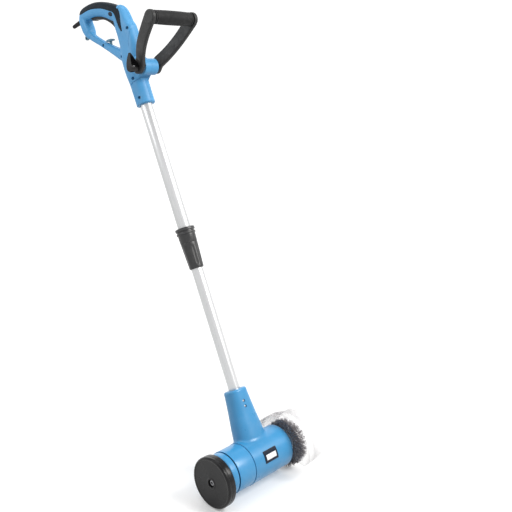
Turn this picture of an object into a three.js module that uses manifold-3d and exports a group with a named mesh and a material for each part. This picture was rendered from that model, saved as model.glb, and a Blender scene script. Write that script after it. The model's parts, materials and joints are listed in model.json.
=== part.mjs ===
// Electric patio cleaner: a long-handled, motor-driven joint brush.
// Millimetres. +Z up, +Y forward (away from the user), +X to the user's right.
// Everything is drawn in the tool's own frame, whose origin is where the shaft
// axis crosses the drum axis, with the shaft along +Z. The last group leans the
// tool back into its working stance and puts the origin at the hand grip.
import * as THREE from "three";
import { mergeVertices } from "three/addons/utils/BufferGeometryUtils.js";
import Module from "manifold-3d";

const wasm = await Module();
wasm.setup();

// ---------------------------------------------------------------- dimensions
const LEAN = 24.6 * Math.PI / 180;      // shaft leans back from the vertical
const GRIP_POINT = [0, -62, 1163];      // centre of the hand grip
const GAP = 0.3;                        // clearance between touching pieces

const DRUM_R = 50.4;                    // head drum
const DRUM_WALL = 3;
const DRUM_X0 = -76, SEAM_X = 48, DRUM_X1 = 98;
const COVER_R = 49.5, CAP_R = 48.3, CAP_X1 = 119;
const WHEEL_R = 58.5, WHEEL_X0 = 121.5, WHEEL_X1 = 144;
const WHEEL_Z = -5;                     // the wheel's axle sits below the drum axis
const BRUSH_R = 62.5, BRUSH_X0 = -92, BRUSH_X1 = -119;
const GUARD_Z = -11, GUARD_R = 82, GUARD_R_END = 74;
const GUARD_X0 = -76.4, GUARD_X1 = -112, GUARD_X2 = -153, GUARD_T = 2;
const GUARD_A0 = -34, GUARD_A1 = 176;   // degrees about the drum axis, from +Y

const NECK_TOP = 165, NECK_R = 21.8;
const LOWER_R = 14, TUBE_T = 1.2, LOWER_Z0 = 62, LOWER_Z1 = 700;
const UPPER_R = 15.5, UPPER_Z0 = 500, UPPER_Z1 = 958;
const NUT_Z0 = 461, NUT_Z1 = 524.7, CLAMP_Z0 = 525, CLAMP_Z1 = 562;

const BOSS_Y = 46, BOSS_Z = 957.5, BOSS_R = 19.7, BOSS_HALF = 19.5;
const BAR_Y = 175.6, BAR_Z = 1016.8;       // loop handle crossbar
const ARM_X0 = 27, ARM_X1 = 62.6;       // arm centre at the boss, at the bar
const ARM_HW = 17.2, ARM_HT = 5;
const SLEEVE_R = 16.4, CORE_R = 10;

const MODULE = 1, ADDENDUM = 0.8, DEDENDUM = 1.35, BACKLASH = 0.34;
const Z_PINION = 12, Z_IDLER_BIG = 36, Z_IDLER_SMALL = 14, Z_OUTPUT = 34;
const IDLER_OFFSET = 24;

// ----------------------------------------------------------------- materials
const mat = (color, roughness, metalness, opacity = 1) =>
  new THREE.MeshStandardMaterial({ color, roughness, metalness, opacity, transparent: opacity < 1 });
const BLUE = mat(0x4f9fdc, 0.32, 0);
const BLACK = mat(0x2a2a2c, 0.45, 0);
const SOFT = mat(0x343438, 0.85, 0);
const NAVY = mat(0x17263a, 0.4, 0);
const ALU = mat(0xd6d8da, 0.3, 1);
const STEEL = mat(0x8f9296, 0.35, 1);
const ZINC = mat(0xb9bcc0, 0.3, 1);
const BRASS = mat(0xb58a3a, 0.35, 1);
const COPPER = mat(0xb2643c, 0.4, 1);
const CLEAR = mat(0xe9ecef, 0.08, 0, 0.3);
const BRISTLE = mat(0x4a4648, 0.7, 0);
const NYLON = mat(0xe6e0d0, 0.5, 0);
const GREY = mat(0x777b80, 0.5, 0);

// ------------------------------------------------------------- solid helpers
function solid(geometry) {
  let g = geometry.index ? geometry.toNonIndexed() : geometry.clone();
  for (const k of Object.keys(g.attributes)) if (k !== "position") g.deleteAttribute(k);
  g = mergeVertices(g, 1e-4);
  const p = g.attributes.position.array, idx = g.index.array, keep = [];
  let vol = 0;
  for (let i = 0; i < idx.length; i += 3) {
    const a = idx[i], b = idx[i + 1], c = idx[i + 2];
    if (a === b || b === c || a === c) continue;
    keep.push(a, b, c);
    const A = [p[3 * a], p[3 * a + 1], p[3 * a + 2]], B = [p[3 * b], p[3 * b + 1], p[3 * b + 2]], C = [p[3 * c], p[3 * c + 1], p[3 * c + 2]];
    vol += A[0] * (B[1] * C[2] - B[2] * C[1]) - A[1] * (B[0] * C[2] - B[2] * C[0]) + A[2] * (B[0] * C[1] - B[1] * C[0]);
  }
  if (vol < 0) for (let i = 0; i < keep.length; i += 3) [keep[i + 1], keep[i + 2]] = [keep[i + 2], keep[i + 1]];
  return new wasm.Manifold(new wasm.Mesh({ numProp: 3, vertProperties: new Float32Array(p), triVerts: new Uint32Array(keep) }));
}
function geometryOf(m) {
  const mesh = m.getMesh(), n = mesh.numProp, v = mesh.vertProperties;
  const pos = new Float32Array(v.length / n * 3);
  for (let i = 0; i < v.length / n; i++) for (let k = 0; k < 3; k++) pos[3 * i + k] = v[n * i + k];
  const g = new THREE.BufferGeometry();
  g.setAttribute("position", new THREE.BufferAttribute(pos, 3));
  g.setIndex(new THREE.BufferAttribute(new Uint32Array(mesh.triVerts), 1));
  g.computeVertexNormals();
  return g;
}
const all = (...s) => s.flat().reduce((a, b) => a.add(b));
const rad = (d) => d * Math.PI / 180;

// A closed profile [[along, radius], ...] turned about X or about Z.
function turned(profile, axis, segs, at = [0, 0, 0]) {
  const pts = profile.map(([a, r]) => new THREE.Vector2(Math.max(r, 0), a));
  pts.push(pts[0].clone());
  const g = new THREE.LatheGeometry(pts, segs);
  if (axis === "x") g.rotateZ(-Math.PI / 2); else g.rotateX(Math.PI / 2);
  g.translate(...at);
  return solid(g);
}
const rodX = (x0, x1, r, y = 0, z = 0, segs = 14) => turned([[x0, 0], [x0, r], [x1, r], [x1, 0]], "x", segs, [0, y, z]);
const ringX = (x0, x1, r0, r1, y = 0, z = 0, segs = 20) => turned([[x0, r0], [x0, r1], [x1, r1], [x1, r0]], "x", segs, [0, y, z]);
const rodZ = (z0, z1, r, segs = 20) => turned([[z0, 0], [z0, r], [z1, r], [z1, 0]], "z", segs);
const ringZ = (z0, z1, r0, r1, segs = 20) => turned([[z0, r0], [z0, r1], [z1, r1], [z1, r0]], "z", segs);

// A flat outline [[u, v], ...] pushed from w0 to w1. basis maps u, v, w.
const V = (x, y, z) => new THREE.Vector3(x, y, z);
function prism(outline, w0, w1, u, v, w, at = [0, 0, 0]) {
  const g = new THREE.ExtrudeGeometry(new THREE.Shape(outline.map(([a, b]) => new THREE.Vector2(a, b))), { depth: w1 - w0, bevelEnabled: false, curveSegments: 6 });
  g.translate(0, 0, w0);
  g.applyMatrix4(new THREE.Matrix4().makeBasis(u, v, w));
  g.translate(...at);
  return solid(g);
}
const prismX = (outline, x0, x1) => prism(outline, x0, x1, V(0, 1, 0), V(0, 0, 1), V(1, 0, 0));
function box(x0, x1, y0, y1, z0, z1) {
  const g = new THREE.BoxGeometry(x1 - x0, y1 - y0, z1 - z0);
  g.translate((x0 + x1) / 2, (y0 + y1) / 2, (z0 + z1) / 2);
  return solid(g);
}
function ngon(n, r, turn = 0) {
  return Array.from({ length: n }, (_, i) => [r * Math.cos(turn + 2 * Math.PI * i / n), r * Math.sin(turn + 2 * Math.PI * i / n)]);
}

// A skin through rounded sections. Each station is
// { c: centre, u, v: unit vectors of the section, a: half size along u, b: half
// size along v, n: 2 for an ellipse, more for a squarer section }.
function loft(stations, sides = 14) {
  const pos = [], idx = [];
  for (const s of stations)
    for (let i = 0; i < sides; i++) {
      const t = 2 * Math.PI * (i + 0.5) / sides, e = 2 / s.n;
      const cu = Math.sign(Math.cos(t)) * Math.abs(Math.cos(t)) ** e * s.a;
      const cv = Math.sign(Math.sin(t)) * Math.abs(Math.sin(t)) ** e * s.b;
      pos.push(s.c[0] + cu * s.u[0] + cv * s.v[0], s.c[1] + cu * s.u[1] + cv * s.v[1], s.c[2] + cu * s.u[2] + cv * s.v[2]);
    }
  const k = stations.length;
  for (let j = 0; j + 1 < k; j++)
    for (let i = 0; i < sides; i++) {
      const a = j * sides + i, b = j * sides + (i + 1) % sides;
      idx.push(a, b, a + sides, b, b + sides, a + sides);
    }
  const c0 = pos.length / 3; pos.push(...stations[0].c);
  const c1 = c0 + 1; pos.push(...stations[k - 1].c);
  for (let i = 0; i < sides; i++) {
    idx.push(c0, (i + 1) % sides, i);
    idx.push(c1, (k - 1) * sides + i, (k - 1) * sides + (i + 1) % sides);
  }
  const g = new THREE.BufferGeometry();
  g.setAttribute("position", new THREE.Float32BufferAttribute(pos, 3));
  g.setIndex(idx);
  return solid(g);
}
// Stations along a path in the middle plane: [y, z, half height, half thickness, n].
function pathStations(rows, inset = 0) {
  return rows.map(([y, z, h, t, n], i) => {
    const p = rows[Math.max(i - 1, 0)], q = rows[Math.min(i + 1, rows.length - 1)];
    const dy = q[0] - p[0], dz = q[1] - p[1], l = Math.hypot(dy, dz);
    return { c: [0, y, z], u: [0, -dz / l, dy / l], v: [1, 0, 0], a: Math.max(h - inset, 0.8), b: Math.max(t - inset, 0.8), n };
  });
}
// Level sections of the spine: [centre y, z, half width along Y, half thickness, n].
const levelStations = (rows, inset = 0) => rows.map(([y, z, w, t, n]) =>
  ({ c: [0, y, z], u: [0, 1, 0], v: [1, 0, 0], a: Math.max(w - inset, 0.8), b: Math.max(t - inset, 0.8), n }));

const part = new THREE.Group();
const stance = new THREE.Group();
part.add(stance);
const groups = {};
for (const n of ["handle", "loop", "head", "rotor", "idler", "spindle", "wheel"]) stance.add(groups[n] = new THREE.Group());
function add(group, name, manifold, material) {
  const m = new THREE.Mesh(geometryOf(manifold), material);
  m.name = name;
  groups[group].add(m);
}

// ============================================================ D-handle shells
const GRIP = [[-134, 1166, 15, 14, 2.6], [-121, 1178.5, 17.5, 16, 2.6], [-100, 1175, 18.5, 17, 2.7], [-76.7, 1169, 18.5, 17.5, 2.7], [-47, 1155, 18.5, 17.5, 2.7], [-28, 1142, 19, 17.5, 2.7], [-9, 1126, 20, 17.3, 2.7], [8, 1110, 18, 16.5, 2.7]];
const REAR = [[-124, 1180, 11, 13, 3], [-132, 1165, 14, 15, 3.4], [-131, 1147, 14, 15, 3.4], [-128.5, 1132, 13, 14, 3.2], [-124.5, 1121, 9, 11, 2.6]];
const STRUT = [[-131, 1130, 9, 10, 2.6], [-118, 1113, 8.5, 9.8, 2.8], [-95, 1089, 8, 9.3, 2.8], [-72, 1066, 9, 9.8, 2.8], [-47, 1042, 11, 12.5, 2.8], [-20, 1018, 15, 16, 2.8], [0, 1000, 16, 18, 2.8]];
const SPINE = [[0, 878.5, 20.8, 20.8, 2], [0, 881.5, 22.6, 22.6, 2], [0, 930, 23.2, 23.2, 2], [1, 965, 27, 25, 2.1], [7, 1005, 33, 22.5, 2.5], [13, 1042, 30, 19, 3], [13.2, 1068, 29.4, 18, 3], [10.5, 1086, 25.8, 18, 3], [10, 1112, 22.6, 16.8, 2.7], [11, 1128, 15, 12, 2.2], [12, 1133, 8, 7, 2]];
const WALL = 2.8, GRIP_WALL = 4.6;
const bossOuter = turned([[-BOSS_HALF, 0], [-BOSS_HALF, BOSS_R], [BOSS_HALF, BOSS_R], [BOSS_HALF, 0]], "x", 24, [0, BOSS_Y, BOSS_Z]);
const bossWeb = prismX([[14, 926], [23, 932], [30.5, 941], [39, 950], [46, 976.5], [34, 990], [14, 1004]], -15, 15);
const skin = all(loft(pathStations(GRIP)), loft(pathStations(REAR)), loft(pathStations(STRUT)), loft(levelStations(SPINE)), bossOuter, bossWeb);
const SPINE_IN = [[2, 963, 24, 22, 2.1], ...SPINE.slice(4)];
const hollow = all(
  loft(pathStations(GRIP, GRIP_WALL), 10),
  loft(pathStations(REAR, 3.4), 10),
  loft(pathStations(STRUT, WALL), 10),
  loft(levelStations(SPINE_IN, GRIP_WALL), 10).intersect(box(-40, 40, -60, 60, 962, 1128)),
);
// Screws of the housing: [y, z, head seat x, tip x, through]
const SCREWS = [[34, 1064, 11.5, -11], [-80.8, 1074.3, 6.4, -6.2], [-14.8, 1012.5, 13.2, -13], [8, 945, 18.4, 14.7], [8, 895, 18.4, 14.7]];
const posts = SCREWS.slice(0, 3).map(([y, z]) => rodX(-22, 22, 4.6, y, z, 8).intersect(skin));
let shells = skin.subtract(hollow);
shells = all(shells, ...posts);
shells = shells.subtract(all(
  rodZ(860, UPPER_Z1 + GAP, UPPER_R + GAP, 20),          // tube socket
  rodZ(950, 975, 9, 10),                                  // lead passage
  rodX(-40, 40, 4.4, BOSS_Y, BOSS_Z, 12),                 // pivot bolt bore
  ...SCREWS.map(([y, z, seat, tip]) => rodX(tip - 0.5, 40, 2.1, y, z, 8)),
  ...SCREWS.map(([y, z, seat]) => rodX(seat - 2.6 - GAP, 40, 4, y, z, 10)),
));
// Slot for the trigger along the underside of the grip.
const TRIG_LOW = [[-97, 1150], [-85, 1146.5], [-74, 1142], [-62, 1136], [-51, 1129.5], [-42, 1122.5], [-35, 1115.5], [-28, 1107.5], [-22, 1099], [-18.5, 1091]];
const TRIG_TOP = [[-13, 1094], [-12, 1103], [-19, 1113], [-27, 1123], [-36, 1131.5], [-46, 1139], [-58, 1146], [-72, 1152.5], [-86, 1157.5], [-97, 1160]];
const slot = [[-101, 1140], [-88, 1140], [-75, 1134], [-52, 1120], [-38, 1108], [-28, 1095], [-21, 1086], [-9.5, 1087], [-6.5, 1104], [-12, 1118], [-22, 1131], [-34, 1141.5], [-48, 1150], [-60, 1156], [-74, 1161], [-88, 1163], [-101, 1163.5]];
shells = shells.subtract(prismX(slot, -8.8, 8.8));
// Seats of the lock button, the cable boot and the cord hook.
const GRIP_DIR = V(0, 0.78, -0.626), GRIP_UP = V(0, 0.626, 0.78);
const LOCK_AT = [0, -9, 1122];
const oval = (a, b, n = 14) => Array.from({ length: n }, (_, i) => [a * Math.cos(2 * Math.PI * i / n), b * Math.sin(2 * Math.PI * i / n)]);
shells = shells.subtract(prism(oval(8.4, 5.4), 4, 30, GRIP_DIR, GRIP_UP, V(1, 0, 0), LOCK_AT));
const BOOT_A = [0, -137, 1173.5], BOOT_B = [0, -190, 1179.5];
const bootDir = V(0, BOOT_B[1] - BOOT_A[1], BOOT_B[2] - BOOT_A[2]).normalize();
const bootUp = V(0, -bootDir.z, bootDir.y);
const bootSt = (s, r) => ({ c: [0, BOOT_A[1] + bootDir.y * s, BOOT_A[2] + bootDir.z * s], u: [1, 0, 0], v: bootUp.toArray(), a: r, b: r, n: 2 });
shells = shells.subtract(loft([bootSt(-6, 6.9), bootSt(40, 6.9)], 16));
// T-shaped cord hook on the strut.
const T_AT = [0, -57.5, 1080], T_DIR = V(0, 0.961, -0.277), T_UP = V(0, 0.277, 0.961);
const stemPoly = [[-66.5, 1053], [-61.5, 1051], [-55.6, 1077], [-60.3, 1078.2]];
shells = shells.subtract(prismX([[-67, 1056], [-61, 1054], [-55, 1078], [-61, 1079]], -3.3, 3.3).intersect(box(-4, 4, -70, -50, 1050, 1070)));
// Recess for the soft grip.
const PAD = [[-137.5, 1184.5], [-120.6, 1179.3], [-98.9, 1175.6], [-74.9, 1169.2], [-44.5, 1155.4], [-25, 1143], [-12, 1132.8], [0, 1123], [7, 1112], [10, 1096], [11.5, 1080], [12, 1066], [15.5, 1066], [19, 1080], [23, 1097], [24, 1110], [21, 1121], [14, 1129], [12, 1160], [-40, 1215], [-137.5, 1215]];
const PAD_IN = [[-137.2, 1184.8], [-120.5, 1179.7], [-98.8, 1176], [-74.7, 1169.6], [-44.2, 1155.8], [-24.7, 1143.4], [-11.7, 1133.2], [0.3, 1123.4], [7.3, 1112.1], [10.35, 1096], [11.85, 1080], [12.6, 1068], [15, 1068], [18.6, 1080], [22.6, 1097], [23.6, 1110], [20.6, 1120.9], [13.6, 1128.7], [11.6, 1159], [-40, 1214], [-137.2, 1214]];
const padCore = all(loft(pathStations(GRIP, 2), 12), loft(pathStations(REAR, 2), 12), loft(levelStations(SPINE, 2), 12));
const padCoreOut = all(loft(pathStations(GRIP, 1.7), 12), loft(pathStations(REAR, 1.7), 12), loft(levelStations(SPINE, 1.7), 12));
const padSkin = all(loft(pathStations(GRIP)), loft(pathStations(REAR)), loft(levelStations(SPINE)));
shells = shells.subtract(prismX(PAD, -30, 30).subtract(padCore));
const pad = padSkin.subtract(padCoreOut).intersect(prismX(PAD_IN, -30, 30));
add("handle", "handle_shell_right", shells.intersect(box(0.15, 60, -250, 250, 800, 1300)), BLUE);
add("handle", "handle_shell_left", shells.intersect(box(-60, -0.15, -250, 250, 800, 1300)), BLUE);
add("handle", "soft_grip", pad, SOFT);

// Screws: short ones pin the tube, long ones join the shells.
SCREWS.forEach(([y, z, seat, tip], i) => {
  const head = turned([[tip, 0], [tip, 1.75], [seat - 2.6, 1.75], [seat - 2.6, 3.6], [seat, 3.6], [seat, 0]], "x", 8, [0, y, z]);
  const cross = all(box(seat - 1.1, seat + 1, y - 2.3, y + 2.3, z - 0.5, z + 0.5), box(seat - 1.1, seat + 1, y - 0.5, y + 0.5, z - 2.3, z + 2.3));
  add("handle", "handle_screw_" + (i + 1), head.subtract(cross), STEEL);
});

// Cable boot: a ribbed, hollow bend relief.
const bootRows = [[-4, 6.5], [6, 6.5], [6.2, 5.2], [8.5, 5.2], [8.7, 8.2], [11.5, 8.2], [11.7, 6.1], [24, 5.8], [38, 5.3], [52, 4.9]];
let boot = loft(bootRows.map(([s, r]) => bootSt(s, r)), 14);
boot = boot.subtract(loft([bootSt(-8, 3.7), bootSt(60, 3.7)], 10));
shells = null;
add("handle", "cable_boot", boot.intersect(box(-20, 20, -200, -120, 1150, 1200)), BLACK);
// Cable clamp bar inside, in front of the boot.
add("handle", "cable_clamp", box(-7.5, 7.5, -128.5, -122.5, 1170.5, 1174), GREY);
const hook = all(
  prismX(stemPoly, -3, 3).intersect(box(-4, 4, -70, -50, 1055.5, 1082)),
  prism([[-13, -1.8], [-11.5, 1.2], [-8, 2.2], [8, 2.2], [11.5, 1.2], [13, -1.8], [11, -2.6], [-11, -2.6]], -5, 5, T_DIR, T_UP, V(1, 0, 0), T_AT),
);
add("handle", "cord_hook", hook, NAVY);
// Hanging lug under the back corner of the D.
const LUG_AT = [-147, 1127.5];
const lug = all(rodX(-2.7, 2.7, 6.2, ...LUG_AT, 16), box(-2.7, 2.7, -145, -128, 1124.5, 1130))
  .subtract(all(rodX(-4, 4, 3.2, ...LUG_AT, 16), loft(pathStations(REAR, -0.3)), loft(pathStations(STRUT, -0.3))));
const lugParts = lug.decompose ? lug.decompose() : [lug];
add("handle", "hang_lug", lugParts.reduce((a, b) => (a.volume() > b.volume() ? a : b)), GREY);

// Trigger: pivots at its back end, moved by the fingers under the grip.
const TRIG_PIVOT = [-99, 1156];
const trigger = prismX([...TRIG_LOW, ...TRIG_TOP], -7.6, 7.6);
add("handle", "trigger", trigger, BLACK);
// Switch and its return spring.
const along = V(0, 0.915, -0.403), up = V(0, 0.403, 0.915);
add("handle", "switch_body", prism([[-17, -6], [17, -6], [17, 6], [-17, 6]], -5.2, 5.2, along, up, V(1, 0, 0), [0, -60.5, 1167.3]), BLACK);
const springPts = [];
for (let i = 0; i <= 32; i++) {
  const a = 2 * Math.PI * i / 8, h = i / 32;
  springPts.push(V(2.6 * Math.cos(a), -66.4 + 2.6 * Math.sin(a) + h * 1.2, 1151.9 + 9.5 * h));
}
const wire = new THREE.Shape(ngon(5, 0.45).map(([a, b]) => new THREE.Vector2(a, b)));
add("handle", "trigger_spring", solid(new THREE.ExtrudeGeometry(wire, { steps: 32, bevelEnabled: false, extrudePath: new THREE.CatmullRomCurve3(springPts) })), STEEL);
// Lock button in the right side of the grip; slides in along X.
add("handle", "lock_button", all(
  prism(oval(7.9, 4.9), 12.2, 17.6, GRIP_DIR, GRIP_UP, V(1, 0, 0), LOCK_AT),
  prism(oval(6.9, 3.9), 17.6, 18.4, GRIP_DIR, GRIP_UP, V(1, 0, 0), LOCK_AT),
), NAVY);

// ================================================================== the tubes
const tube = (z0, z1, r) => ringZ(z0, z1, r - TUBE_T, r, 20);
add("handle", "upper_tube", tube(UPPER_Z0, UPPER_Z1, UPPER_R).subtract(all(rodX(10, 20, 2.1, 2.3, 945.4, 10), rodX(10, 20, 2.1, 1.5, 895.3, 10))), ALU);
const fluted = (r0, r1, z0, z1, n, depth) => {
  let m = turned([[z0, 0], [z0, r0 - 1.2], [z0 + 1.2, r0], [z1, r1], [z1, 0]], "z", 24);
  for (let i = 0; i < n; i++) {
    const a = 2 * Math.PI * (i + 0.5) / n, g = new THREE.CylinderGeometry(3.4, 3.4, z1 - z0 - 14, 6);
    g.rotateX(Math.PI / 2);
    const k = (r1 - r0) / (z1 - z0);
    g.applyMatrix4(new THREE.Matrix4().makeRotationY(Math.atan(k)));
    g.translate((r0 + r1) / 2 + 3.4 - depth, 0, (z0 + z1) / 2 - 1);
    g.rotateZ(a);
    m = m.subtract(solid(g));
  }
  return m;
};
add("handle", "clamp_body", turned([[CLAMP_Z0, UPPER_R + GAP], [CLAMP_Z0, 20.6], [546, 21.4], [546.5, 23.2], [551, 23.2], [551.5, 21.7], [554.5, 21.8], [555, 24], [CLAMP_Z1, 23.6], [CLAMP_Z1, UPPER_R + GAP]], "z", 20), BLACK);
add("handle", "collet", turned([[472, LOWER_R + GAP], [472, 15.6], [474, 16.1], [498, 16.1], [498, LOWER_R + GAP]], "z", 20).subtract(box(0, 20, -1, 1, 470, 500)), NYLON);
add("handle", "twist_nut", fluted(17.3, 20.4, NUT_Z0, NUT_Z1, 8, 0.9).subtract(all(rodZ(455, 530, LOWER_R + GAP, 20), rodZ(470.5, 530, 16.5, 20))), BLACK);
add("handle", "coiled_lead", rodZ(140, 952, 6, 8), BLACK);

// ================================================================ loop handle
const armDirY = BAR_Y - BOSS_Y, armDirZ = BAR_Z - BOSS_Z, armLen = Math.hypot(armDirY, armDirZ);
const ad = [armDirY / armLen, armDirZ / armLen];
function armAt(s) { // s runs from 0 at the boss to 1 at the bar
  const q = Math.max(0, (s - 0.11) / 0.89);
  const splay = ARM_X0 + (ARM_X1 - ARM_X0) * (0.42 * q + 0.58 * (1 - (1 - q) ** 3));
  return [splay, BOSS_Y + armDirY * s, BOSS_Z + armDirZ * s];
}
function arm(side) {
  const st = [0, 0.11, 0.22, 0.36, 0.54, 0.76, 1].map((s) => {
    const [x, y, z] = armAt(s);
    return { c: [side * x, y, z], u: [0, -ad[1], ad[0]], v: [side, 0, 0], a: ARM_HW * (1 - 0.06 * Math.sin(Math.PI * s)), b: ARM_HT, n: 4.5 };
  });
  const x0 = side * (ARM_X0 - ARM_HT), x1 = side * (ARM_X0 + ARM_HT), x2 = side * (ARM_X1 - ARM_HT), x3 = side * (ARM_X1 + ARM_HT);
  const foot = turned([[x0, 0], [x0, ARM_HW - 0.3], [x0 + side, ARM_HW + 0.5], [x1 - side, ARM_HW + 0.5], [x1, ARM_HW - 0.3], [x1, 0]], "x", 16, [0, BOSS_Y, BOSS_Z]);
  const top = turned([[x2, 0], [x2, 15.8], [x2 + side, 16.6], [x3 - 3 * side, 16.6], [x3, 13.6], [x3, 0]], "x", 18, [0, BAR_Y, BAR_Z]);
  let m = loft(st, 12);
  m = all(m, foot, top);
  return m.subtract(rodX(-70, 70, 4.4, BOSS_Y, BOSS_Z, 12));
}
add("loop", "loop_arm_right", arm(1), BLACK);
add("loop", "loop_arm_left", arm(-1), BLACK);
const BAR_HALF = ARM_X1 - ARM_HT - 2;
add("loop", "loop_core", rodX(-BAR_HALF, BAR_HALF, CORE_R, BAR_Y, BAR_Z, 20), GREY);
add("loop", "loop_grip", turned([[-BAR_HALF + 0.4, CORE_R + GAP], [-BAR_HALF + 0.4, SLEEVE_R - 2], [-BAR_HALF + 2.4, SLEEVE_R - 0.6], [-22, SLEEVE_R], [22, SLEEVE_R], [BAR_HALF - 2.4, SLEEVE_R - 0.6], [BAR_HALF - 0.4, SLEEVE_R - 2], [BAR_HALF - 0.4, CORE_R + GAP]], "x", 20, [0, BAR_Y, BAR_Z]), SOFT);
function detent(side) {
  const r = [];
  for (let i = 0; i < 24; i++) r.push([(i % 2 ? 15.6 : 14.4) * Math.cos(2 * Math.PI * i / 24), (i % 2 ? 15.6 : 14.4) * Math.sin(2 * Math.PI * i / 24)]);
  const a = BOSS_HALF + GAP, b = ARM_X0 - ARM_HT - GAP;
  return prism(r, side > 0 ? a : -b, side > 0 ? b : -a, V(0, 1, 0), V(0, 0, 1), V(1, 0, 0), [0, BOSS_Y, BOSS_Z]).subtract(rodX(-40, 40, 4.4, BOSS_Y, BOSS_Z, 12));
}
add("loop", "detent_disc_right", detent(1), STEEL);
add("loop", "detent_disc_left", detent(-1), STEEL);
// Pivot bolt with an eye for the clamp lever's pin, and its nut.
const PIN_X = 46.6;
const ld = V(0, 0.25, 0.968).normalize(), ln = V(0, ld.z, -ld.y); // lever length, pin axis
const onAxis = (s, t, x) => [x, BOSS_Y + ld.y * s + ln.y * t, BOSS_Z + ld.z * s + ln.z * t];
const along3 = (o, dir, h0, h1, r, segs = 16) => prism(ngon(segs, r), h0, h1, V(1, 0, 0), V(0, dir.z, -dir.y).multiplyScalar(-1), dir, o);
const pinAt = [PIN_X, BOSS_Y, BOSS_Z];
const bolt = all(rodX(-38.5, PIN_X, 4, BOSS_Y, BOSS_Z, 16), along3(pinAt, ln, -3.9, 3.9, 4.6, 16)).subtract(along3(pinAt, ln, -8, 8, 2.3, 12));
add("loop", "pivot_bolt", bolt, STEEL);
add("loop", "pivot_nut", prism(ngon(6, 8), -39, -32.4, V(0, 1, 0), V(0, 0, 1), V(1, 0, 0), [0, BOSS_Y, BOSS_Z]).subtract(rodX(-45, 0, 4.3, BOSS_Y, BOSS_Z, 16)), STEEL);
add("loop", "lever_pin", along3(pinAt, ln, -9, 9, 2, 12), STEEL);
// Teardrop cam lever beside the right arm.
const tear = [[0, -13.4], [5, -12.6], [8.2, -9.8], [9.6, -5.5], [9.9, 0], [9.2, 8], [7.4, 17], [4.8, 26], [2, 31.5], [0, 32.6], [-2, 31.5], [-4.8, 26], [-7.4, 17], [-9.2, 8], [-9.9, 0], [-9.6, -5.5], [-8.2, -9.8], [-5, -12.6]];
const side = [[-14.2, 0], [-13.9, -3], [-12.2, -6.8], [-9.6, -9.9], [-6, -12.2], [-1.5, -13.2], [3, -12.8], [6.2, -10.6], [8.2, -6.5], [8.8, 0], [8.2, 8], [6.8, 17], [4.8, 26], [3, 33], [-0.6, 33], [-3.4, 26], [-6.6, 17], [-10.6, 9], [-13.2, 4]];
let lever = prism(tear, -16, 12, ln, ld, V(1, 0, 0), pinAt).intersect(prism(side, -12, 12, V(1, 0, 0), ld, V(0, ln.y, ln.z).multiplyScalar(-1), pinAt));
lever = lever.subtract(prism([[-16, -16], [5.4, -16], [5.4, 5.6], [-16, 5.6]], -4.9, 4.9, V(1, 0, 0), ld, V(0, ln.y, ln.z).multiplyScalar(-1), pinAt));
lever = lever.subtract(along3(pinAt, ln, -14, 14, 2.3, 12));
add("loop", "clamp_lever", lever, BLACK);

// ======================================================================= head
const NECK = [[24, 41, 32, 2.3], [46, 40.2, 31, 2.3], [70, 38, 29, 2.35], [100, 33.6, 27, 2.4], [130, 29.3, 25.2, 2.5], [152, 26.6, 24.2, 2.6], [NECK_TOP - 3, 25.8, 23.8, 2.6], [NECK_TOP, 24.4, 22.4, 2.6]];
const neckStations = (inset) => NECK.map(([z, a, b, n]) => ({ c: [0, 0, z], u: [1, 0, 0], v: [0, 1, 0], a: a - inset, b: b - inset, n }));
const drumProfile = [[DRUM_X0, 0], [DRUM_X0, DRUM_R - 3.5], [DRUM_X0 + 1, DRUM_R - 1.2], [DRUM_X0 + 3.5, DRUM_R], [SEAM_X, DRUM_R], [SEAM_X, 0]];
let housing = all(turned(drumProfile, "x", 34), loft(neckStations(0), 16));
housing = housing.subtract(all(
  turned([[DRUM_X0 + DRUM_WALL, 0], [DRUM_X0 + DRUM_WALL, DRUM_R - DRUM_WALL], [60, DRUM_R - DRUM_WALL], [60, 0]], "x", 28),
  loft(neckStations(3.4), 12).intersect(box(-60, 60, -60, 60, 20, 148)),
));
housing = all(housing, ringZ(55, 160, 13, 17.6, 16), ringX(-74, -63, 13.3, 16.2, 0, 0, 20), rodX(-74, -64, 5, 0, IDLER_OFFSET, 10), rodX(-74, -67, 4, 30, 17, 8), rodX(-74, -67, 4, -30, 17, 8));
housing = housing.subtract(all(
  rodZ(LOWER_Z0 - GAP, 200, LOWER_R + GAP, 20), rodZ(40, LOWER_Z0, 8, 10),
  rodX(-80, -60, 9, 0, 0, 16), rodX(-73, -60, 13.3, 0, 0, 20),
  rodX(-73, -60, 2.8, 0, IDLER_OFFSET, 12),
  rodX(-90, -68.9, 1.9, 30, 17, 10), rodX(-90, -68.9, 1.9, -30, 17, 10),
));
const neckScrews = [[4, 134], [4, 121]];
for (const [x, z] of neckScrews) {
  housing = housing.subtract(prism(ngon(10, 1.9), 12, 40, V(0, 0, 1), V(1, 0, 0), V(0, 1, 0), [x, 0, z]));
  housing = housing.subtract(prism(ngon(12, 3.5), 22, 40, V(0, 0, 1), V(1, 0, 0), V(0, 1, 0), [x, 0, z]));
}
add("head", "head_housing", housing, BLUE);
neckScrews.forEach(([x, z], i) => add("head", "neck_screw_" + (i + 1), all(
  prism(ngon(10, 1.6), 12.2, 22.4, V(0, 0, 1), V(1, 0, 0), V(0, 1, 0), [x, 0, z]),
  prism(ngon(12, 3.1), 22.3, 24.4, V(0, 0, 1), V(1, 0, 0), V(0, 1, 0), [x, 0, z])), STEEL));
add("head", "lower_tube", tube(LOWER_Z0, LOWER_Z1, LOWER_R).subtract(all(...neckScrews.map(([x, z]) => prism(ngon(10, 2.1), 5, 20, V(0, 0, 1), V(1, 0, 0), V(0, 1, 0), [x, 0, z])))), ALU);

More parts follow.
